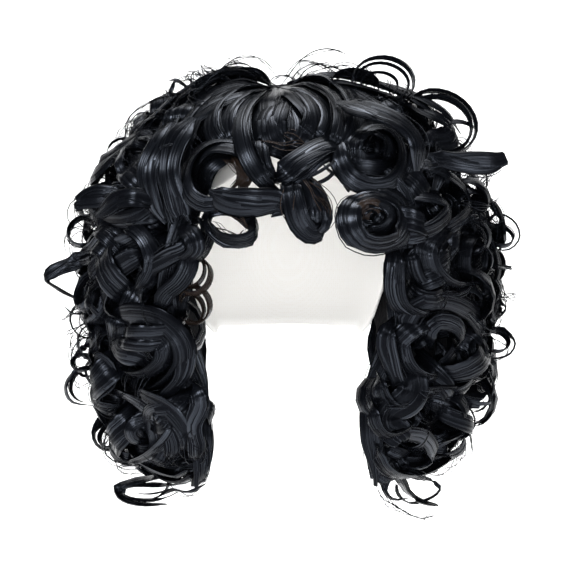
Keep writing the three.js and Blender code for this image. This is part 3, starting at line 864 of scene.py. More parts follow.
# Long waves down the wall that faces forward between the head and the outside of each side. Its
# inner edge is where the opening ends: x by height, on the plane y = 0.
faceWall = {
    "shares": (0.0, 0.16, 0.34, 0.52, 0.72),
    "width": (12, 16),
    "sway": (3, 6),
    "levels": ((0.72, 1.5), (1.25, 1.98)),
    "z": [-290, -212, -190, -167, -129, -77, -50],
    -1: [-71, -69, -78, -85, -82, -74, -72],
    1: [70, 67, 78, 89, 88, 80, 76],
}


# Waves down the walls of the two falls that face the neck, and down those that face back, which begin
# where the hem of the back rises away from them. They stay off the neck, and the innermost is narrow.
innerWall = {
    "turns": (86, 97),
    "shares": (0.09, 0.24, 0.4, 0.56, 0.72, 0.9),
    "width": (14, 17),
    "innermost": 0.7,
    "drops": (156, 286),
    "hemTurns": (136, 106),
    "offMiddle": 69,
}


def makeInnerWall():
    hemTurns = np.linspace(*innerWall["hemTurns"], 16)
    hemDrops = [dropAt(1.95, turn, 0) for turn in hemTurns]
    for side, section in sideSections:
        walls = [(turn, 0) for turn in innerWall["turns"]] + [(0, share) for share in innerWall["shares"]]
        for fixedTurn, share in walls:
            phase, path, outs = rng.uniform(0, 6), [], []
            for drop in np.linspace(*innerWall["drops"], 21):
                turn = fixedTurn or np.interp(drop, hemDrops, hemTurns)
                level = 1 + (drop - shape["headHeight"]) / (hemDrop(turn) - shape["headHeight"])
                inner, outer = wallPoint(drop, side * turn), hairPoint(min(level, 2), side * turn)
                beat = 0.08 * drop + phase
                if fixedTurn:
                    out, swing = np.array([-side, 0.3, 0.0]), np.array([0, 4 * math.sin(beat), 0])
                else:
                    out = unit(np.array([-0.2 * side, 1.0, -0.6 * (1 - smooth(215, 235, drop))]))
                    swing = np.array([5 * math.sin(beat), 0, 0])
                place = mix(inner, outer * np.array([0.93, 1, 1]), share)
                place = np.array([place[0], place[1], -drop]) + swing + out * (2 + math.cos(beat))
                if not fixedTurn:
                    place[0] = side * max(abs(place[0]), innerWall["offMiddle"])
                path.append(place)
                outs.append(out)
            width = rng.uniform(*innerWall["width"])
            width *= innerWall["innermost"] if share == innerWall["shares"][0] else 1
            addLock(section, np.array(path), unit(np.array(outs)), width, root=0.6)


def makeFaceWall():
    for side, section in sideSections:
        for share in faceWall["shares"]:
            for first, last in faceWall["levels"]:
                path = []
                phase, sway = rng.uniform(0, 6), rng.uniform(*faceWall["sway"])
                for level in np.linspace(first, last, 24):
                    at = side * rowAt("atHead", level)
                    drop = dropAt(level, at, shape["headHeight"])
                    inner = headPoint(drop, at)
                    inner = seen(np.interp(-drop, faceWall["z"], faceWall[side]), -drop, inner[1] - 10)
                    outer = hairPoint(level, side * rowAt("atOutside", level))
                    beat = 9 * (level - first) + phase
                    away = np.array([side * sway * math.sin(beat), -3 - 5 * math.cos(beat), 0])
                    path.append(mix(inner, outer, share) + away * (1 if share else 0.4))
                path = np.array(path)
                toCamera = np.tile(np.array([side * -0.3, -1.0, 0.0]), (len(path), 1))
                addLock(section, path, toCamera, rng.uniform(*faceWall["width"]))


# The locks of the front, by section: how far they stand out and how wide they are in mm, the trace, and
# whether they end free
tracedLocks = [
    ("crown_left_hair", [
        (2, 15, [(277, 87), (250, 73), (225, 74), (200, 88), (180, 110), (168, 138), (165, 170), (168, 200),
            (182, 230)]),
        (5, 14, [(272, 89), (242, 82), (214, 91), (190, 112), (176, 138), (171, 168), (175, 198),
            (190, 226)]),
        (0, 16, [(268, 84), (238, 73), (205, 84), (178, 104), (160, 130), (152, 160), (150, 185),
            (138, 206)]),
        (-2, 15, [(262, 78), (236, 68), (208, 75), (180, 93), (158, 113), (140, 131), (124, 148)]),
        (-4, 15, [(240, 74), (205, 82), (172, 100), (150, 120), (132, 142), (118, 160)]),
        (7, 12, [(264, 89), (238, 88), (214, 99), (199, 117), (189, 140), (184, 165), (187, 196)]),
        (3, 14, [(258, 88), (232, 92), (212, 106), (200, 126), (192, 144)]),
        (8, 12, [(272, 87), (246, 86), (226, 96), (214, 112), (213, 130), (223, 143), (240, 150)]),
        (6, 13, [(271, 89), (250, 92), (233, 104), (226, 120), (230, 137), (243, 148)]),
        (4, 12, [(268, 92), (248, 100), (238, 116), (238, 134), (246, 148)]),
        (4, 19, [(277, 89), (266, 104), (258, 122), (262, 138), (274, 148)]),
        (11, 11, [(270, 88), (256, 96), (245, 108), (240, 124), (243, 143), (252, 163), (267, 183),
            (286, 198)]),
    ]),
    ("fringe_left_hair", [
        (9, 8, [(262, 92), (250, 104), (245, 124), (249, 146), (260, 168), (276, 188)]),
        (8, 10, [(262, 152), (244, 143), (222, 139), (203, 145), (190, 158), (184, 177), (189, 195),
            (204, 204), (222, 201), (236, 192)]),
        (6, 9, [(252, 158), (236, 150), (216, 149), (202, 156), (194, 170), (195, 186)]),
        (-5, 17, [(238, 148), (220, 152), (207, 163), (200, 178), (202, 196)]),
        (-8, 16, [(226, 146), (208, 152), (196, 166), (192, 184)]),
        (6, 11, [(258, 134), (260, 152), (266, 168), (276, 184)]),
        (5, 8, [(202, 217), (214, 209), (232, 210), (247, 219), (256, 232)]),
        (4, 9, [(204, 220), (214, 232), (230, 241), (247, 242), (257, 231)]),
        (7, 5, [(262, 188), (278, 194), (286, 203), (282, 211), (270, 216)], True),
    ]),
    ("fringe_right_hair", [
        (9, 15, [(344, 146), (328, 146), (312, 152), (298, 162), (286, 174), (274, 182)]),
        (5, 11, [(336, 150), (318, 158), (304, 168), (290, 178), (280, 186)]),
        (5, 16, [(286, 168), (296, 182), (304, 200), (309, 218), (314, 233), (320, 240)]),
        (9, 13, [(286, 172), (289, 190), (293, 208), (300, 224), (312, 235), (322, 232), (326, 222)]),
        (4, 12, [(292, 174), (306, 186), (316, 202), (320, 218), (320, 232)]),
        (8, 8, [(296, 172), (310, 182), (321, 197), (327, 214), (324, 229), (312, 236)]),
        (9, 2.5, [(300, 174), (316, 184), (327, 200), (331, 218), (326, 232)], True),
        (9, 2.0, [(338, 158), (326, 168), (312, 176), (306, 180)], True),
        (9, 2.0, [(340, 166), (328, 178), (314, 184), (304, 182)], True),
    ]),
    ("crown_right_hair", [
        (2, 20, [(279, 89), (275, 108), (274, 126), (282, 141), (298, 146)]),
        (5, 18, [(281, 89), (290, 103), (296, 121), (293, 138), (280, 147)]),
        (5, 18, [(283, 88), (300, 97), (313, 112), (312, 131), (298, 145)]),
        (6, 14, [(284, 87), (306, 90), (324, 102), (331, 120), (326, 138), (312, 147)]),
        (7, 14, [(286, 86), (312, 85), (334, 97), (343, 118), (340, 140), (328, 154)]),
        (5, 15, [(287, 84), (318, 79), (346, 89), (358, 110), (354, 135), (345, 160), (345, 182)]),
        (9, 8, [(300, 84), (336, 83), (370, 99), (398, 121), (414, 148), (410, 172), (394, 190)]),
        (2, 15, [(310, 82), (345, 83), (385, 95), (418, 115), (437, 142), (442, 170), (434, 198)]),
        (0, 15, [(300, 80), (330, 74), (364, 79), (398, 92), (428, 108), (452, 130)]),
        (-2, 15, [(320, 76), (352, 76), (388, 86), (420, 98), (446, 114), (462, 136)]),
        (4, 14, [(330, 88), (362, 98), (388, 114), (404, 136), (404, 160)]),
        (8, 14, [(336, 118), (338, 140), (341, 160), (353, 178), (374, 187), (395, 182), (406, 164),
            (402, 142), (386, 128), (368, 128), (357, 142), (358, 160), (372, 170)]),
        (6, 13, [(354, 168), (346, 150), (354, 134), (372, 130), (388, 140), (390, 156), (378, 166)]),
        (5, 13, [(362, 158), (362, 144), (374, 140), (382, 150), (374, 160)]),
    ]),
    ("side_right_hair", [
        (10, 16, [(350, 186), (376, 189), (400, 199), (408, 220), (398, 240), (374, 246), (353, 236),
            (346, 214), (354, 198), (372, 196)]),
        (8, 15, [(350, 224), (356, 206), (374, 198), (390, 206), (394, 220), (384, 234), (366, 236),
            (356, 226)]),
        (6, 13, [(366, 226), (360, 214), (368, 204), (381, 205), (386, 216), (378, 226), (368, 224)]),
        (0, 20, [(344, 200), (360, 212), (380, 218), (404, 206)]),
        (0, 18, [(346, 214), (362, 226), (382, 228), (404, 216)]),
        (2, 14, [(344, 222), (358, 230), (376, 232), (396, 224), (410, 206)]),
    ]),
    ("crown_right_hair", [
        (0, 20, [(340, 146), (358, 152), (378, 152), (402, 140)]),
        (0, 20, [(340, 156), (358, 166), (380, 166), (404, 150)]),
    ]),
    ("side_left_hair", [
        (4, 12, [(168, 146), (150, 138), (130, 141), (113, 154), (107, 172), (113, 190), (128, 198)]),
        (6, 10, [(150, 152), (132, 153), (136, 164), (139, 180), (131, 196), (116, 203)]),
        (6, 13, [(170, 178), (148, 186), (122, 190), (101, 197), (94, 208), (105, 218), (128, 218),
            (150, 207), (170, 196)]),
        (8, 9, [(166, 186), (146, 195), (124, 199), (108, 203), (112, 210), (130, 210), (146, 202)]),
        (3, 12, [(98, 200), (105, 220), (103, 240), (92, 254), (78, 264)]),
        (2, 9, [(116, 240), (98, 250), (80, 257), (62, 265), (48, 274), (46, 280), (56, 287), (70, 295),
            (88, 303)], True),
        (0, 6, [(112, 252), (92, 260), (72, 266), (56, 272), (48, 280), (60, 291), (78, 300)], True),
        (6, 13, [(118, 222), (138, 230), (152, 246), (156, 266), (148, 284), (132, 296)]),
        (5, 14, [(160, 232), (140, 240), (118, 250), (100, 264), (92, 282), (100, 300)]),
        (8, 12, [(150, 252), (128, 262), (110, 276), (104, 296), (112, 314), (130, 322)]),
        (6, 13, [(192, 232), (184, 248), (168, 256), (150, 268), (140, 288), (146, 308), (164, 316)]),
        (4, 13, [(184, 246), (188, 262), (180, 282), (164, 298), (158, 318)]),
        (6, 13, [(178, 226), (194, 236), (198, 250), (186, 260), (170, 262)]),
        (5, 15, [(100, 322), (128, 318), (158, 322), (178, 340), (182, 362), (167, 382), (142, 392),
            (116, 388)]),
        (8, 12, [(108, 340), (130, 332), (152, 334), (166, 346), (164, 362), (148, 374), (130, 374),
            (122, 362)]),
        (3, 14, [(182, 330), (188, 352), (184, 376), (168, 396), (160, 416)]),
        (4, 14, [(84, 318), (96, 334), (90, 352), (98, 368), (118, 372)]),
        (6, 13, [(104, 388), (124, 396), (146, 410), (166, 430), (172, 452), (160, 468)]),
        (7, 12, [(132, 392), (152, 402), (172, 416), (186, 438), (184, 458)]),
        (5, 13, [(96, 398), (104, 418), (120, 434), (142, 436), (158, 424)]),
        (8, 11, [(122, 466), (146, 460), (166, 446), (176, 430), (170, 416)]),
        (3, 13, [(192, 380), (198, 402), (192, 424), (197, 446), (192, 470)]),
        (6, 12, [(128, 444), (140, 460), (158, 472), (180, 476), (194, 466)]),
    ]),
    ("side_right_hair", [
        (5, 13, [(410, 160), (438, 168), (462, 186), (470, 208), (456, 228), (432, 236)]),
        (7, 12, [(396, 196), (420, 196), (444, 202), (448, 216), (434, 230), (412, 238), (392, 240)]),
        (3, 14, [(452, 158), (474, 176), (482, 198), (478, 222), (490, 240)]),
        (6, 14, [(462, 224), (440, 232), (428, 250), (432, 272), (450, 286), (474, 282), (486, 264),
            (478, 246)]),
        (4, 14, [(470, 222), (490, 240), (498, 264), (492, 288), (476, 304)]),
        (7, 14, [(396, 244), (394, 264), (394, 286), (402, 306), (420, 316), (438, 310)]),
        (5, 13, [(408, 244), (412, 266), (424, 286), (442, 296), (462, 294)]),
        (6, 14, [(416, 346), (410, 326), (422, 308), (448, 303), (474, 316), (483, 340), (472, 362),
            (446, 370), (424, 360)]),
        (9, 10, [(430, 350), (428, 332), (440, 320), (458, 324), (462, 340), (450, 352)]),
        (4, 13, [(394, 318), (388, 342), (394, 366), (401, 388), (396, 408)]),
        (4, 13, [(406, 318), (400, 342), (406, 362), (422, 376), (444, 380)]),
        (5, 13, [(486, 330), (490, 352), (480, 374), (460, 388), (432, 390), (410, 398)]),
        (6, 12, [(378, 372), (380, 394), (394, 408), (412, 406), (420, 392)]),
        (7, 12, [(372, 400), (376, 424), (390, 436), (408, 428), (410, 412)]),
        (5, 13, [(420, 398), (444, 404), (460, 416), (456, 434), (438, 444)]),
        (6, 12, [(386, 446), (402, 436), (424, 440), (432, 456), (416, 468), (398, 464)]),
        (4, 12, [(378, 440), (380, 460), (394, 474), (416, 476), (440, 464), (456, 448)]),
    ]),
    ("side_left_hair", [
        (-2, 10, [(138, 450), (150, 468), (166, 478), (184, 480), (202, 470)]),
        (-3, 9, [(202, 436), (203, 458), (202, 476), (194, 488)], True),
        (-6, 9, [(198, 462), (176, 474), (150, 479), (128, 485), (119, 493), (127, 500), (148, 504),
            (168, 504)], True),
    ]),
    ("crown_left_hair", [
        (2, 3, [(200, 98), (188, 88), (176, 80), (168, 81)], True),
        (2, 3, [(167, 103), (171, 92), (175, 79)], True),
        (2, 3, [(196, 90), (186, 94), (176, 96)], True),
    ]),
    ("crown_right_hair", [
        (2, 8, [(424, 132), (430, 116), (442, 118), (452, 132), (450, 150), (438, 160)]),
        (2, 5, [(476, 128), (462, 122), (448, 124), (440, 134)], True),
    ]),
    ("side_left_hair", [
        (-6, 3, [(190, 468), (172, 478), (166, 490), (150, 494), (132, 493)], True),
    ]),
    ("side_right_hair", [
        (-8, 8, [(388, 452), (397, 474), (408, 492), (424, 502), (446, 507)], True),
        (-8, 4, [(384, 462), (406, 474), (430, 480), (440, 489), (430, 498), (410, 503), (398, 494),
            (396, 480)], True),
        (-6, 6, [(402, 458), (390, 474), (383, 488), (392, 499), (408, 498)], True),
    ]),
    ("side_left_hair", [
        (-5, 5, [(204, 470), (182, 484), (152, 485), (130, 487), (122, 493), (136, 499), (162, 499),
            (184, 489)], True),
        (-6, 4, [(206, 484), (190, 492), (174, 490), (160, 496), (140, 503)], True),
        (-3, 7, [(116, 346), (98, 342), (80, 350), (74, 364), (84, 376), (102, 374)], True),
        (-3, 6, [(96, 366), (76, 372), (66, 386), (72, 402), (96, 406)], True),
        (-3, 8, [(126, 412), (108, 416), (94, 430), (98, 446), (116, 450), (130, 444)], True),
        (-2, 6, [(108, 322), (88, 312), (74, 314), (64, 306)], True),
    ]),
    ("side_right_hair", [
        (-4, 4, [(480, 226), (498, 214), (515, 222), (520, 238), (508, 250), (488, 248)], True),
        (-4, 6, [(474, 306), (492, 301), (506, 307), (498, 316), (476, 320)], True),
        (-4, 6, [(480, 332), (502, 331), (515, 342), (509, 355), (490, 359), (474, 354)], True),
        (-2, 6, [(478, 272), (496, 266), (514, 268)], True),
        (-3, 6, [(470, 368), (488, 374), (494, 390), (484, 408), (468, 414)], True),
    ]),
]

# The same with painted brown backlight, for light that shines through where only thin hair is left: the
# middle of the round roll, the front edge over the forehead and the ring's inner side
warmLocks = [
    ("side_right_hair", [
        (10, 4, [(356, 220), (358, 208), (368, 201), (380, 205), (386, 216)]),
        (10, 4, [(362, 224), (362, 212), (370, 206), (379, 210), (381, 220)]),
        (10, 3, [(368, 226), (367, 215), (373, 210), (378, 217)]),
        (9, 3, [(352, 214), (356, 202), (366, 196), (380, 199)]),
    ]),
    ("fringe_left_hair", [
        (1, 7, [(232, 152), (244, 163), (247, 178), (240, 192)]),
        (2, 4, [(226, 154), (238, 166), (239, 180), (230, 190)]),
    ]),
]

# Loose strands that stand out of the outline, and those with painted brown backlight
tuftStrands = [
    ("crown_left_hair", [
        (4, 6, [(228, 80), (214, 76), (204, 70), (198, 62)]),
        (4, 6, [(210, 88), (205, 77), (199, 66)]),
        (4, 5, [(222, 76), (212, 72), (204, 70)]),
        (2, 5, [(214, 84), (222, 70), (232, 64), (246, 62)]),
        (0, 7, [(160, 116), (146, 112), (134, 122), (130, 138)]),
    ]),
    ("side_left_hair", [
        (0, 7, [(108, 214), (86, 214), (72, 226), (70, 242), (88, 250)]),
    ]),
    ("side_right_hair", [
        (0, 7, [(474, 300), (492, 304), (502, 312), (494, 320), (476, 320)]),
        (0, 7, [(478, 330), (496, 334), (510, 344), (506, 356), (486, 362)]),
        (0, 6, [(470, 356), (486, 364), (492, 380), (482, 396)]),
    ]),
]
# Strands with painted brown backlight, for light through thin hair
warmStrands = [
    ("crown_right_hair", [
        (3, 8, [(260, 139), (278, 137), (296, 139), (312, 147)]),
        (1, 8, [(258, 144), (274, 142), (292, 145), (306, 152)]),
    ]),
    ("fringe_left_hair", [
        (4, 8, [(224, 158), (238, 163), (246, 176), (240, 190)]),
        (3, 8, [(232, 156), (246, 168), (248, 184)]),
        (7, 7, [(206, 212), (222, 211), (240, 221), (248, 236)]),
        (7, 6, [(210, 222), (224, 232), (240, 236), (250, 230)]),
    ]),
    ("fringe_right_hair", [
        (9, 8, [(302, 176), (316, 186), (326, 202), (329, 220), (320, 236)]),
        (7, 6, [(288, 180), (287, 200), (292, 220), (300, 238)]),
    ]),
]


# The rows of groups that share a section, each with its section in front
def rowsOf(groups):
    return [(section, *row) for section, rows in groups for row in rows]


def makeTraced():
    for groups, look in (
        (tracedLocks, {}),
        # the next two groups carry painted brown backlight on thin hair
        (warmLocks, {"warm": 0.6}),
        (warmStrands, {"free": True, "warm": 0.8, "loose": True}),
        (tuftStrands, {"free": True, "loose": True}),
    ):
        for row in rowsOf(groups):
            draped(*row, **look)


# Loops that are placed one by one, by section: x, z, y, radius, start, sweep, width, turn, tilt, oval, inner
# and roll, in millimetres and degrees. Those of the front carry painted brown backlight, for light through
# thin hair, where they are thin.
frontLoops = [
    ("fringe_left_hair", [
        (-42, -96, -106, 20, 130, -330, 11, -18, 40, 0.66, 0.9, -26),
        (-40, -95, -104, 17, 110, -180, 12, -10, 30, 0.7, 0.95, -22),
        (-44, -97, -104, 16, 200, 150, 4, -10, 30, 0.5, 0.95, -30),
    ]),
    ("side_left_hair", [
        (-69, -134, -80, 13, 150, -320, 7, -24, 20, 1.1, 0.9, 0),
        (-71, -131, -78, 10, 140, -300, 5, -24, 20, 1.2, 0.9, 0),
        (-69, -155, -80, 13, 170, -330, 7, -24, -16, 1.05, 0.9, 0),
        (-71, -158, -78, 10, 160, -310, 5, -24, -16, 1.1, 0.9, 0),
        (-70, -107, -84, 14, 150, -300, 13, -30, 16, 1.2, 0.8, 0),
    ]),
]
edgeLoops = [
    ("crown_right_hair", [
        (71, 11, -30, 23, 200, -290, 6, 14, 20, 0.86, 0.97, 0),
        (70, 10, -32, 20, 205, -290, 5, 10, 24, 0.86, 0.95, 0),
        (68, 8, -34, 14, 190, -270, 4, 12, 20, 0.8, 0.9, 0),
        (112, -20, -30, 29, 155, -270, 7, 12, 24, 0.98, 0.93, -14),
        (111, -21, -32, 26, 150, -270, 6, 10, 26, 0.98, 0.93, -14),
        (50, 8, -30, 19, 190, -230, 7, 16, 34, 0.8, 0.9, 0),
    ]),
    ("crown_left_hair", [
        (-32, 7, -30, 19, 0, 210, 8, -14, 34, 0.86, 0.9, 0),
        (-56, 3, -34, 16, -10, 220, 7, -16, 34, 0.9, 0.9, 0),
    ]),
    ("side_right_hair", [
        (156, -104, -20, 12, 160, -330, 5, 10, 30, 0.9, 0.8, 0),
        (148, -158, -20, 11, 150, -300, 6, 30, 20, 0.7, 0.8, 0),
        (153, -182, -20, 12, 160, -310, 6, 20, 20, 0.8, 0.8, 0),
        (136, -224, -20, 17, 90, -180, 7, 20, 10, 1.3, 0.9, 0),
    ]),
    ("side_left_hair", [
        (-150, -100, -20, 14, 20, 330, 7, -10, 26, 1.0, 0.85, 0),
        (-152, -198, -20, 9, 0, 340, 5, -10, 24, 0.9, 0.8, 0),
        (-148, -214, -20, 14, 80, 190, 7, -15, 10, 1.0, 0.9, 0),
        (-131, -252, -20, 10, 40, 300, 6, -20, 20, 1.0, 0.8, 0),
    ]),
]

# Locks that are placed one by one: the places that they pass, a place inside their bend, their width and,
# where it isn't thin, how much of it is left at the tip
bows = [
    ("fringe_left_hair", [
        ([(-58, -70, -104), (-44, -76, -110), (-26, -77, -112), (-8, -76, -110), (3, -86, -106)],
            (-26, -70, -80), 16, 0.2),
    ]),
    ("crown_right_hair", [
        ([(38, -4, -70), (61, -9, -84), (85, -20, -90), (98, -36, -90), (97, -58, -86)], (70, -50, -60),
            17),
        ([(104, -44, -60), (124, -50, -56), (146, -50, -48), (162, -46, -40)], (130, -60, -20), 18, 0.75),
    ]),
    ("crown_left_hair", [
        ([(-70, -16, -76), (-84, -34, -86), (-88, -56, -92), (-82, -78, -92), (-75, -98, -88)],
            (-80, -60, -60), 15),
        ([(-86, -20, -70), (-98, -38, -82), (-104, -58, -86), (-98, -80, -86), (-88, -96, -84)],
            (-90, -60, -50), 14),
    ]),
    ("side_left_hair", [
        ([(-94, -76, -84), (-112, -73, -86), (-128, -78, -78), (-144, -90, -62)], (-116, -86, -56), 15),
        ([(-122, -72, -56), (-138, -73, -50), (-150, -76, -44), (-159, -80, -40)], (-136, -82, -20), 15,
            0.7),
    ]),
]

# Strands that stand free of the outline
freeStrands = [
    ("crown_right_hair", [
        [(-6, 6, -30), (5, 22, -30), (18, 31, -30), (33, 34, -30), (47, 30, -30)],
        [(0, 6, -30), (14, 20, -30), (30, 24, -30), (44, 18, -30)],
        [(2, 7, -34), (16, 17, -34), (32, 21, -34), (50, 14, -34)],
        [(-2, 5, -32), (8, 18, -32), (20, 25, -32), (32, 22, -32)],
    ]),
    ("crown_left_hair", [
        [(-54, 10, -30), (-40, 26, -30), (-22, 28, -30), (-6, 12, -30)],
        [(-42, 8, -30), (-54, 18, -30), (-67, 23, -30)],
        [(-60, 8, -34), (-46, 20, -34), (-30, 23, -34), (-14, 10, -34)],
        [(-66, 4, -36), (-48, 18, -36), (-30, 20, -36), (-16, 9, -36)],
        [(-70, 2, -40), (-52, 14, -40), (-34, 18, -40), (-18, 9, -40)],
        [(-56, 6, -30), (-74, 13, -30), (-89, 5, -30)],
        [(-66, -4, -30), (-78, 2, -30), (-90, -2, -30)],
        [(-122, -32, -30), (-116, -15, -30), (-99, -2, -30), (-85, 0, -30)],
    ]),
    ("side_right_hair", [
        [(144, -70, -30), (155, -90, -30), (154, -112, -30)],
        [(138, -118, -30), (154, -125, -30), (168, -129, -30)],
        [(138, -140, -30), (158, -148, -30), (174, -145, -30)],
        [(122, -236, -30), (134, -246, -30), (136, -266, -30)],
        [(66, -284, -40), (80, -304, -40), (100, -312, -40), (112, -308, -40)],
        [(66, -290, -40), (74, -302, -40), (90, -308, -40)],
    ]),
    ("side_left_hair", [
        [(-142, -154, -30), (-158, -160, -30), (-169, -168, -30)],
        [(-144, -164, -30), (-158, -172, -30), (-166, -178, -30)],
        [(-88, -286, -40), (-74, -295, -40), (-60, -287, -40)],
    ]),
    ("fringe_right_hair", [
        [(20, -74, -110), (31, -84, -112), (30, -100, -106)],
    ]),
]


def makeHandPlaced():
    for groups, warmBelow in ((frontLoops, 8), (edgeLoops, 0)):
        for section, *values in rowsOf(groups):
            # thin loops of the front carry painted brown backlight
            loop(section, *values, warm=0.45 if values[6] < warmBelow else 0.0)
    for row in rowsOf(bows):
        bowed(*row)
    for section, strands in freeStrands:
        for places in strands:
            middle = np.mean(places, axis=0) + np.array([0, -12, 0])
            # the fringe's free strands carry painted brown backlight
            bowed(section, places, middle, 5, loose=True, warm=0.8 if section.startswith("fringe") else 0.0)


# Fine curls of a few strands that have sprung out of the mass
flyaways = {"count": 150, "levels": (0.1, 1.95), "radius": (9, 20), "width": (3, 7)}


def makeFlyaways():
    placed = 0
    while placed < flyaways["count"]:
        level, turn = rng.uniform(*flyaways["levels"]), rng.uniform(-180, 180)
        if abs(turn) < faceTurn(level) or (abs(turn) > 95 and level > 1.4):
            continue
        section, radius, inner = sectionAt(level, turn), rng.uniform(*flyaways["radius"]), rng.uniform(6, 14)
        swirl(section, level, turn, radius, inner, rng.uniform(0.6, 1.4), rng.uniform(20, 90),
              rng.uniform(0, 360), rng.uniform(*flyaways["width"]), sink=rng.uniform(-6, 4),
              creep=rng.uniform(5, 25), loose=True)
        placed += 1


# Round curls under the traced locks of the sides, outwards of the inner edge
faceCurls = {
    "heights": np.linspace(-80, -250, 9),
    "shares": (0.0, 0.5),
    "outward": (2, 56),
    "radius": (13, 18),
    "width": (13, 17),
}


def makeFaceCurls():
    for side, section in sideSections:
        for height in faceCurls["heights"]:
            for share in faceCurls["shares"]:
                radius, z = rng.uniform(*faceCurls["radius"]), height + rng.uniform(-6, 6)
                outward = mix(*faceCurls["outward"], share + rng.uniform(0, 0.2))
                x = np.interp(z, faceWall["z"], faceWall[side]) + side * (radius + outward)
                loop(section, x, z, frontDepth(x, z) + rng.uniform(6, 12), radius, rng.uniform(0, 360),
                     rng.choice([-1, 1]) * rng.uniform(340, 480), rng.uniform(*faceCurls["width"]),
                     turn=side * rng.uniform(-20, 20), tilt=rng.uniform(-40, 40), oval=rng.uniform(0.8, 1.1),
                     inner=rng.uniform(0.45, 0.8), creep=rng.uniform(4, 12))


# Open rings of thin locks that stand out of the sides of the outline
edgeRings = {"levels": np.linspace(0.3, 1.86, 15), "turns": (74, 106), "radius": (11, 18), "width": (4, 8)}


def makeEdgeRings():
    for side in (-1, 1):
        for level in edgeRings["levels"]:
            for loose in (False, True):
                turn = side * rng.uniform(*edgeRings["turns"])
                if inWindow(hairPoint(level, turn)):
                    continue
                radius, inner = rng.uniform(*edgeRings["radius"]), rng.uniform(8, 12)
                swirl(sectionAt(level, turn), level, turn, radius, inner, rng.uniform(0.7, 1.1),
                      rng.uniform(65, 90), rng.choice([-90, 90]) + rng.uniform(-25, 25),
                      rng.uniform(*edgeRings["width"]), sink=rng.uniform(0, 6) + 6 * smooth(1.5, 1.8, level),
                      creep=rng.uniform(2, 10), loose=loose)


makeCrownArcs()
makeTraced()
makeEdgeRings()
makeMassCurls()
makeHemRinglets()
makeFaceWall()
makeInnerWall()
makeFaceCurls()
makeHandPlaced()
makeFlyaways()
print("lock lines made:", {name: locks["count"] for name, locks in lockLines.items()})

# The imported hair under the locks: a wall between the head and a line under the surface
coreSizes = {
    "inset": 17,
    "hemInset": 0.6,  # less of it at the hem
    "topInset": 6,
    "wallLevels": (0.66, 1.96),
    "crownRim": (0.59, 0.68),  # the lowest level of the crown's core, at the face and beside it
    "rimTurns": (36, 60),
    "crownDepth": 45,
    "crownRows": 14,
    "crownColumns": 36,
    "wallRows": 34,
    "sideColumns": 34,
    "backColumns": 40,
}


# The faces of a shell's two skins, each a grid of columns and rows. The function given says which
# number a point has.
def skinFaces(at, columns, rows):
    faces = []
    for c in range(columns):
        for r in range(rows - 1):
            faces.append((at(0, c, r), at(0, c, r + 1), at(0, c + 1, r + 1), at(0, c + 1, r)))
            faces.append((at(1, c, r), at(1, c + 1, r), at(1, c + 1, r + 1), at(1, c, r + 1)))
    return faces


def shellMesh(name, points, faces, material, weld=0):
    mesh = bpy.data.meshes.new(name)
    mesh.from_pydata(points, [], faces)
    work = bmesh.new()
    work.from_mesh(mesh)
    if weld:
        bmesh.ops.remove_doubles(work, verts=work.verts, dist=weld)
    bmesh.ops.recalc_face_normals(work, faces=work.faces)
    work.to_mesh(mesh)
    work.free()
    mesh.polygons.foreach_set("use_smooth", [True] * len(mesh.polygons))
    mesh.materials.append(material)
    return mesh


# A closed wall between two grids of points, which share their outline
def wallMesh(name, outer, inner):
    columns, rows = len(outer), len(outer[0])
    points = [point * mm for column in outer + inner for point in column]

    def at(side, c, r):
        return (side * columns + c) * rows + r

    faces = skinFaces(at, columns - 1, rows)
    border = [(c, 0) for c in range(columns)] + [(columns - 1, r) for r in range(1, rows)]
    border += [(c, rows - 1) for c in range(columns - 2, -1, -1)] + [(0, r) for r in range(rows - 2, 0, -1)]
    for a, b in zip(border, border[1:] + border[:1]):
        faces.append((at(0, *a), at(0, *b), at(1, *b), at(1, *a)))
    return shellMesh(name, points, faces, packedMaterial, 0.05 * mm)


def insetPoint(level, turn, inset):
    here, out, *_ = hairFrame(level, turn)
    return here - out * inset


def sideCore(name, ends, columns):
    outer, inner = [], []
    for c in range(columns + 1):
        outside, inside = [], []
        for level in np.linspace(*coreSizes["wallLevels"], coreSizes["wallRows"]):
            (inFirst, outFirst), (inLast, outLast) = ends(level)
            turnOut, turnIn = mix(outFirst, outLast, c / columns), mix(inFirst, inLast, c / columns)
            inset = coreSizes["inset"] * mix(1, coreSizes["hemInset"], smooth(1.7, 2, level))
            inset += lessFull(level, turnOut)
            outside.append(insetPoint(level, turnOut, inset))
            inside.append(wallPoint(dropAt(level, turnIn, shape["headHeight"]), turnIn))
        outer.append(outside)
        inner.append(inside)
    return wallMesh(name, outer, inner)


def crownCore(name, side):
    outer, inner = [], []
    for turn in np.linspace(0.001, 180, coreSizes["crownColumns"]) * side:
        outside, inside = [], []
        lowest = mix(*coreSizes["crownRim"], smooth(*coreSizes["rimTurns"], abs(turn)))
        for level in np.linspace(0.001, lowest, coreSizes["crownRows"]):
            inset = mix(coreSizes["topInset"], coreSizes["inset"], smooth(0, 0.5, level))
            inset += lessFull(level, turn)
            outside.append(insetPoint(level, turn, inset))
            drop = min(dropAt(level, turn, shape["headHeight"]), coreSizes["crownDepth"])
            inside.append(headPoint(drop, turn))
        outer.append(outside)
        inner.append(inside)
    return wallMesh(name, outer, inner)


backTurn = 180 - math.degrees(math.acos(shape["backStart"] / shape["back"]))


def makeCore(name):
    side = -1 if "left" in name else 1
    if name.startswith("crown"):
        return crownCore(name + "Core", side)
    if name.startswith("side"):
        end = (side * backTurn, side * backTurn)

        def ends(level):
            return (side * rowAt("atHead", level), side * (rowAt("atOutside", level) + 6)), end

        return sideCore(name + "Core", ends, coreSizes["sideColumns"])
    if name.startswith("back"):
        both = ((backTurn, backTurn), (360 - backTurn, 360 - backTurn))
        return sideCore(name + "Core", lambda level: both, coreSizes["backColumns"])
    return None


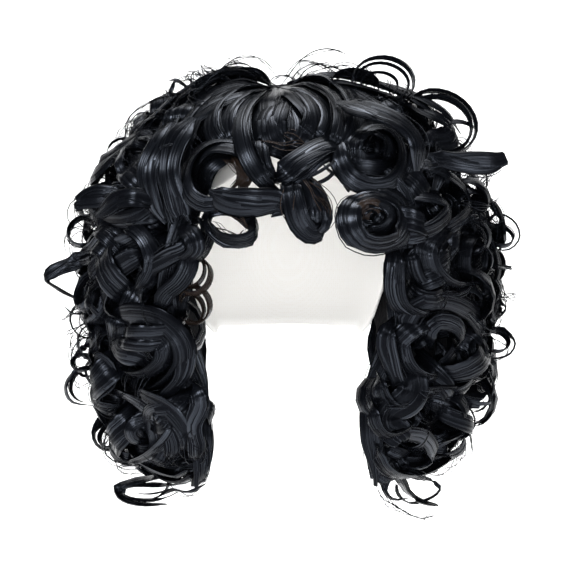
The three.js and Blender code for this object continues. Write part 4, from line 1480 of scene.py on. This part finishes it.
def makePiece(name):
    meshes = [lockMesh(name + "Locks", lockLines[name], {})]
    if looseLines[name]["count"]:
        meshes.append(lockMesh(name + "Loose", looseLines[name], looseSizes))
    core = makeCore(name)
    if core:
        meshes.append(core)
    parts = [bpy.data.objects.new(mesh.name, mesh) for mesh in meshes]
    for part in parts:
        bpy.context.scene.collection.objects.link(part)
    with bpy.context.temp_override(active_object=parts[0], selected_editable_objects=parts, object=parts[0]):
        bpy.ops.object.join()
    piece = parts[0]
    piece.name = name.replace("hair", "curls")
    piece.data.name = piece.name
    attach(piece, "root")
    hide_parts(name)
    piece.data.calc_loop_triangles()
    print(piece.name, len(piece.data.loop_triangles), "triangles")


for name in hairNodes:
    makePiece(name)

capSizes = {
    "wall": 1.4,
    "binding": 7,
    "bindingThick": 0.5,
    "columns": 120,
    "rows": 44,
    "domeShare": 0.6,  # of the rows, closer at the top
    "edgeTurns": [0, 52, 78, 96, 108, 116, 124, 180],
    "edgeDrops": [42, 72, 124, 120, 170, 176, 171, 170],
}
capFinish = {
    "net": "#fffefc",
    "thread": "#faf8f4",
    "mesh": 1.6 * mm,
    "unevenness": 0.35,
    "hole": (0.06, 0.3),
    "stitchEvery": 14,  # mm
    "stitch": (0.97, 1.0),
    "stitchTone": 0.5,
    "roughness": (0.7, 0.92),
    "bump": 0.12,
    "bumpDepth": 0.2 * mm,
    "sheen": 0.15,
}


# Nylon net, warp knitted and bound with a woven tape: pale and matt, with cells of 1.6 mm and the rows
# of stitches that hold the hair
def makeNetMaterial():
    material, tree = newMaterial("nylonNetWarpKnitted")
    cloth = tree.nodes["Principled BSDF"]
    cloth.inputs["Sheen Weight"].default_value = capFinish["sheen"]
    place = addNode(tree, "ShaderNodeTexCoord").outputs["Object"]
    drop = addNode(tree, "ShaderNodeAttribute", {"attribute_name": "drop"}).outputs["Fac"]
    knit = {"Scale": 1 / capFinish["mesh"], "Randomness": capFinish["unevenness"], "Vector": place}
    cells = addNode(tree, "ShaderNodeTexVoronoi", {"feature": "DISTANCE_TO_EDGE", **knit})
    hole = mapRange(tree, cells.outputs["Distance"], capFinish["hole"])
    row = mathNode(tree, "COSINE", mathNode(tree, "MULTIPLY", drop, 2 * math.pi / capFinish["stitchEvery"]))
    stitch = mapRange(tree, row, capFinish["stitch"], (0.0, capFinish["stitchTone"]))
    darker = mathNode(tree, "MAXIMUM", hole, stitch)
    colour = mixNode(tree, "RGBA", darker, linear(capFinish["net"]), linear(capFinish["thread"]))
    depth = {"Strength": capFinish["bump"], "Distance": capFinish["bumpDepth"]}
    bump = addNode(tree, "ShaderNodeBump", {**depth, "Height": darker})
    tree.links.new(colour, cloth.inputs["Base Color"])
    tree.links.new(mapRange(tree, hole, end=capFinish["roughness"]), cloth.inputs["Roughness"])
    tree.links.new(bump.outputs[0], cloth.inputs["Normal"])
    return material


def capEdge(turn):
    turns, drops = capSizes["edgeTurns"], capSizes["edgeDrops"]
    i = min(max(np.searchsorted(turns, fromFace(turn)) - 1, 0), len(turns) - 2)
    return mix(drops[i], drops[i + 1], smooth(turns[i], turns[i + 1], fromFace(turn)))


# How far down a row lies, for an edge at some drop
def rowDrop(share, edge):
    dome = capSizes["domeShare"]
    down = 1 - math.cos(min(share, dome) * math.pi / 2)
    return edge * (down if share < dome else mix(down, 1, (share - dome) / (1 - dome)))


def makeCap():
    columns, rows = capSizes["columns"], capSizes["rows"]
    points, drops = [], []
    for side in (0, 1):
        for c in range(columns):
            turn = 360 * c / columns
            edge = capEdge(turn)
            for r in range(1, rows + 1):
                drop = rowDrop(r / rows, edge)
                bound = smooth(capSizes["binding"] + 1, capSizes["binding"], edge - drop)
                room = capSizes["wall"] if side else -capSizes["bindingThick"] * bound
                points.append(headPoint(drop, turn, room) * mm)
                drops.append(edge - drop)
    top = len(points)
    points.extend([np.zeros(3), np.array([0, 0, capSizes["wall"] * mm])])
    drops.extend([999, 999])

    def at(side, c, r):
        return (side * columns + c % columns) * rows + r

    faces = skinFaces(at, columns, rows)
    for c in range(columns):
        faces.append((top, at(0, c, 0), at(0, c + 1, 0)))
        faces.append((top + 1, at(1, c + 1, 0), at(1, c, 0)))
        faces.append((at(0, c, rows - 1), at(1, c, rows - 1), at(1, c + 1, rows - 1), at(0, c + 1, rows - 1)))
    mesh = shellMesh("netCap", points, faces, makeNetMaterial())
    mesh.attributes.new("drop", "FLOAT", "POINT").data.foreach_set("value", np.array(drops, float))
    piece = bpy.data.objects.new("net_cap", mesh)
    bpy.context.scene.collection.objects.link(piece)
    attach(piece, "root")
    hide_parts("cap")


makeCap()
print("cap made")

# The studio: a pale floor that sweeps up behind, soft lights, and a camera at the photo's angle
studio = {
    "floorZ": -0.42,
    "pale": "#fbfbfb",
    "glow": 0.55,
    "frameWidth": 0.424,  # what the photo's frame spans at the wig, at 0.74 mm a pixel
    "room": 0.1,
}
# Name, width and height, watts, place and what it points at
lights = [
    ("keyLeft", (0.4, 0.5), 22, (-1.1, -1.2, 0.75), (0, 0, -0.13)),
    ("keyRight", (0.35, 0.5), 11, (1.2, -1.1, 0.55), (0, 0, -0.13)),
    ("top", (0.7, 0.5), 15, (0.0, -0.1, 1.3), (0, 0, -0.13)),
    ("front", (0.3, 0.3), 7, (0.0, -1.7, -0.05), (0, 0.1, -0.12)),
    ("low", (0.3, 0.3), 5, (0.0, -1.3, -0.5), (0, 0.1, -0.1)),
    ("backdrop", (2.5, 1.5), 60, (0.0, 0.6, 2.4), (0, 1.8, 0.2)),
]


def makeStudio():
    outline = [(-3.0, 0.0)]
    outline += [(1.4 + 0.9 * math.sin(a), 0.9 * (1 - math.cos(a))) for a in np.radians(range(0, 91, 6))]
    outline += [(2.3, 3.2)]
    points = [(x, y, studio["floorZ"] + z) for y, z in outline for x in (-4.0, 4.0)]
    faces = [(2 * i, 2 * i + 1, 2 * i + 3, 2 * i + 2) for i in range(len(outline) - 1)]
    mesh = bpy.data.meshes.new("paleSweep")
    mesh.from_pydata(points, [], faces)
    mesh.polygons.foreach_set("use_smooth", [True] * len(faces))
    sweep = bpy.data.objects.new("paleSweep", mesh)
    bpy.context.scene.collection.objects.link(sweep)
    # Matt paper off a roll, lit a little from behind so that it stays near white
    material, tree = newMaterial("paperRollMatt")
    paper = tree.nodes["Principled BSDF"]
    paper.inputs["Base Color"].default_value = linear(studio["pale"])
    paper.inputs["Roughness"].default_value = 0.9
    paper.inputs["Emission Color"].default_value = (1, 1, 1, 1)
    paper.inputs["Emission Strength"].default_value = studio["glow"]
    mesh.materials.append(material)


def addLight(name, size, energy, place, target):
    data = bpy.data.lights.new(name, "AREA")
    data.shape = "RECTANGLE"
    data.size, data.size_y = size
    data.energy = energy
    light = bpy.data.objects.new(name, data)
    light.location = place
    aim = np.array(target) - np.array(place)
    light.rotation_euler = (math.acos(-aim[2] / np.linalg.norm(aim)), 0, math.atan2(-aim[0], aim[1]))
    bpy.context.scene.collection.objects.link(light)


makeStudio()
for light in lights:
    addLight(*light)

world = bpy.data.worlds.new("softRoom")
bpy.context.scene.world = world
world.use_nodes = True
world.node_tree.nodes["Background"].inputs[0].default_value = (0.9, 0.95, 1.0, 1)
world.node_tree.nodes["Background"].inputs[1].default_value = studio["room"]
bpy.context.scene.view_settings.view_transform = "Standard"

camera = bpy.data.objects.new("camera", bpy.data.cameras.new("camera"))
camera.data.sensor_width = 36
camera.data.lens = camera.data.sensor_width * view["distance"] * mm / studio["frameWidth"]
camera.location = (view["aimX"] * mm, -view["distance"] * mm, view["aimZ"] * mm)
camera.rotation_euler = (math.pi / 2, 0, 0)
bpy.context.scene.collection.objects.link(camera)
bpy.context.scene.camera = camera
print("studio made")
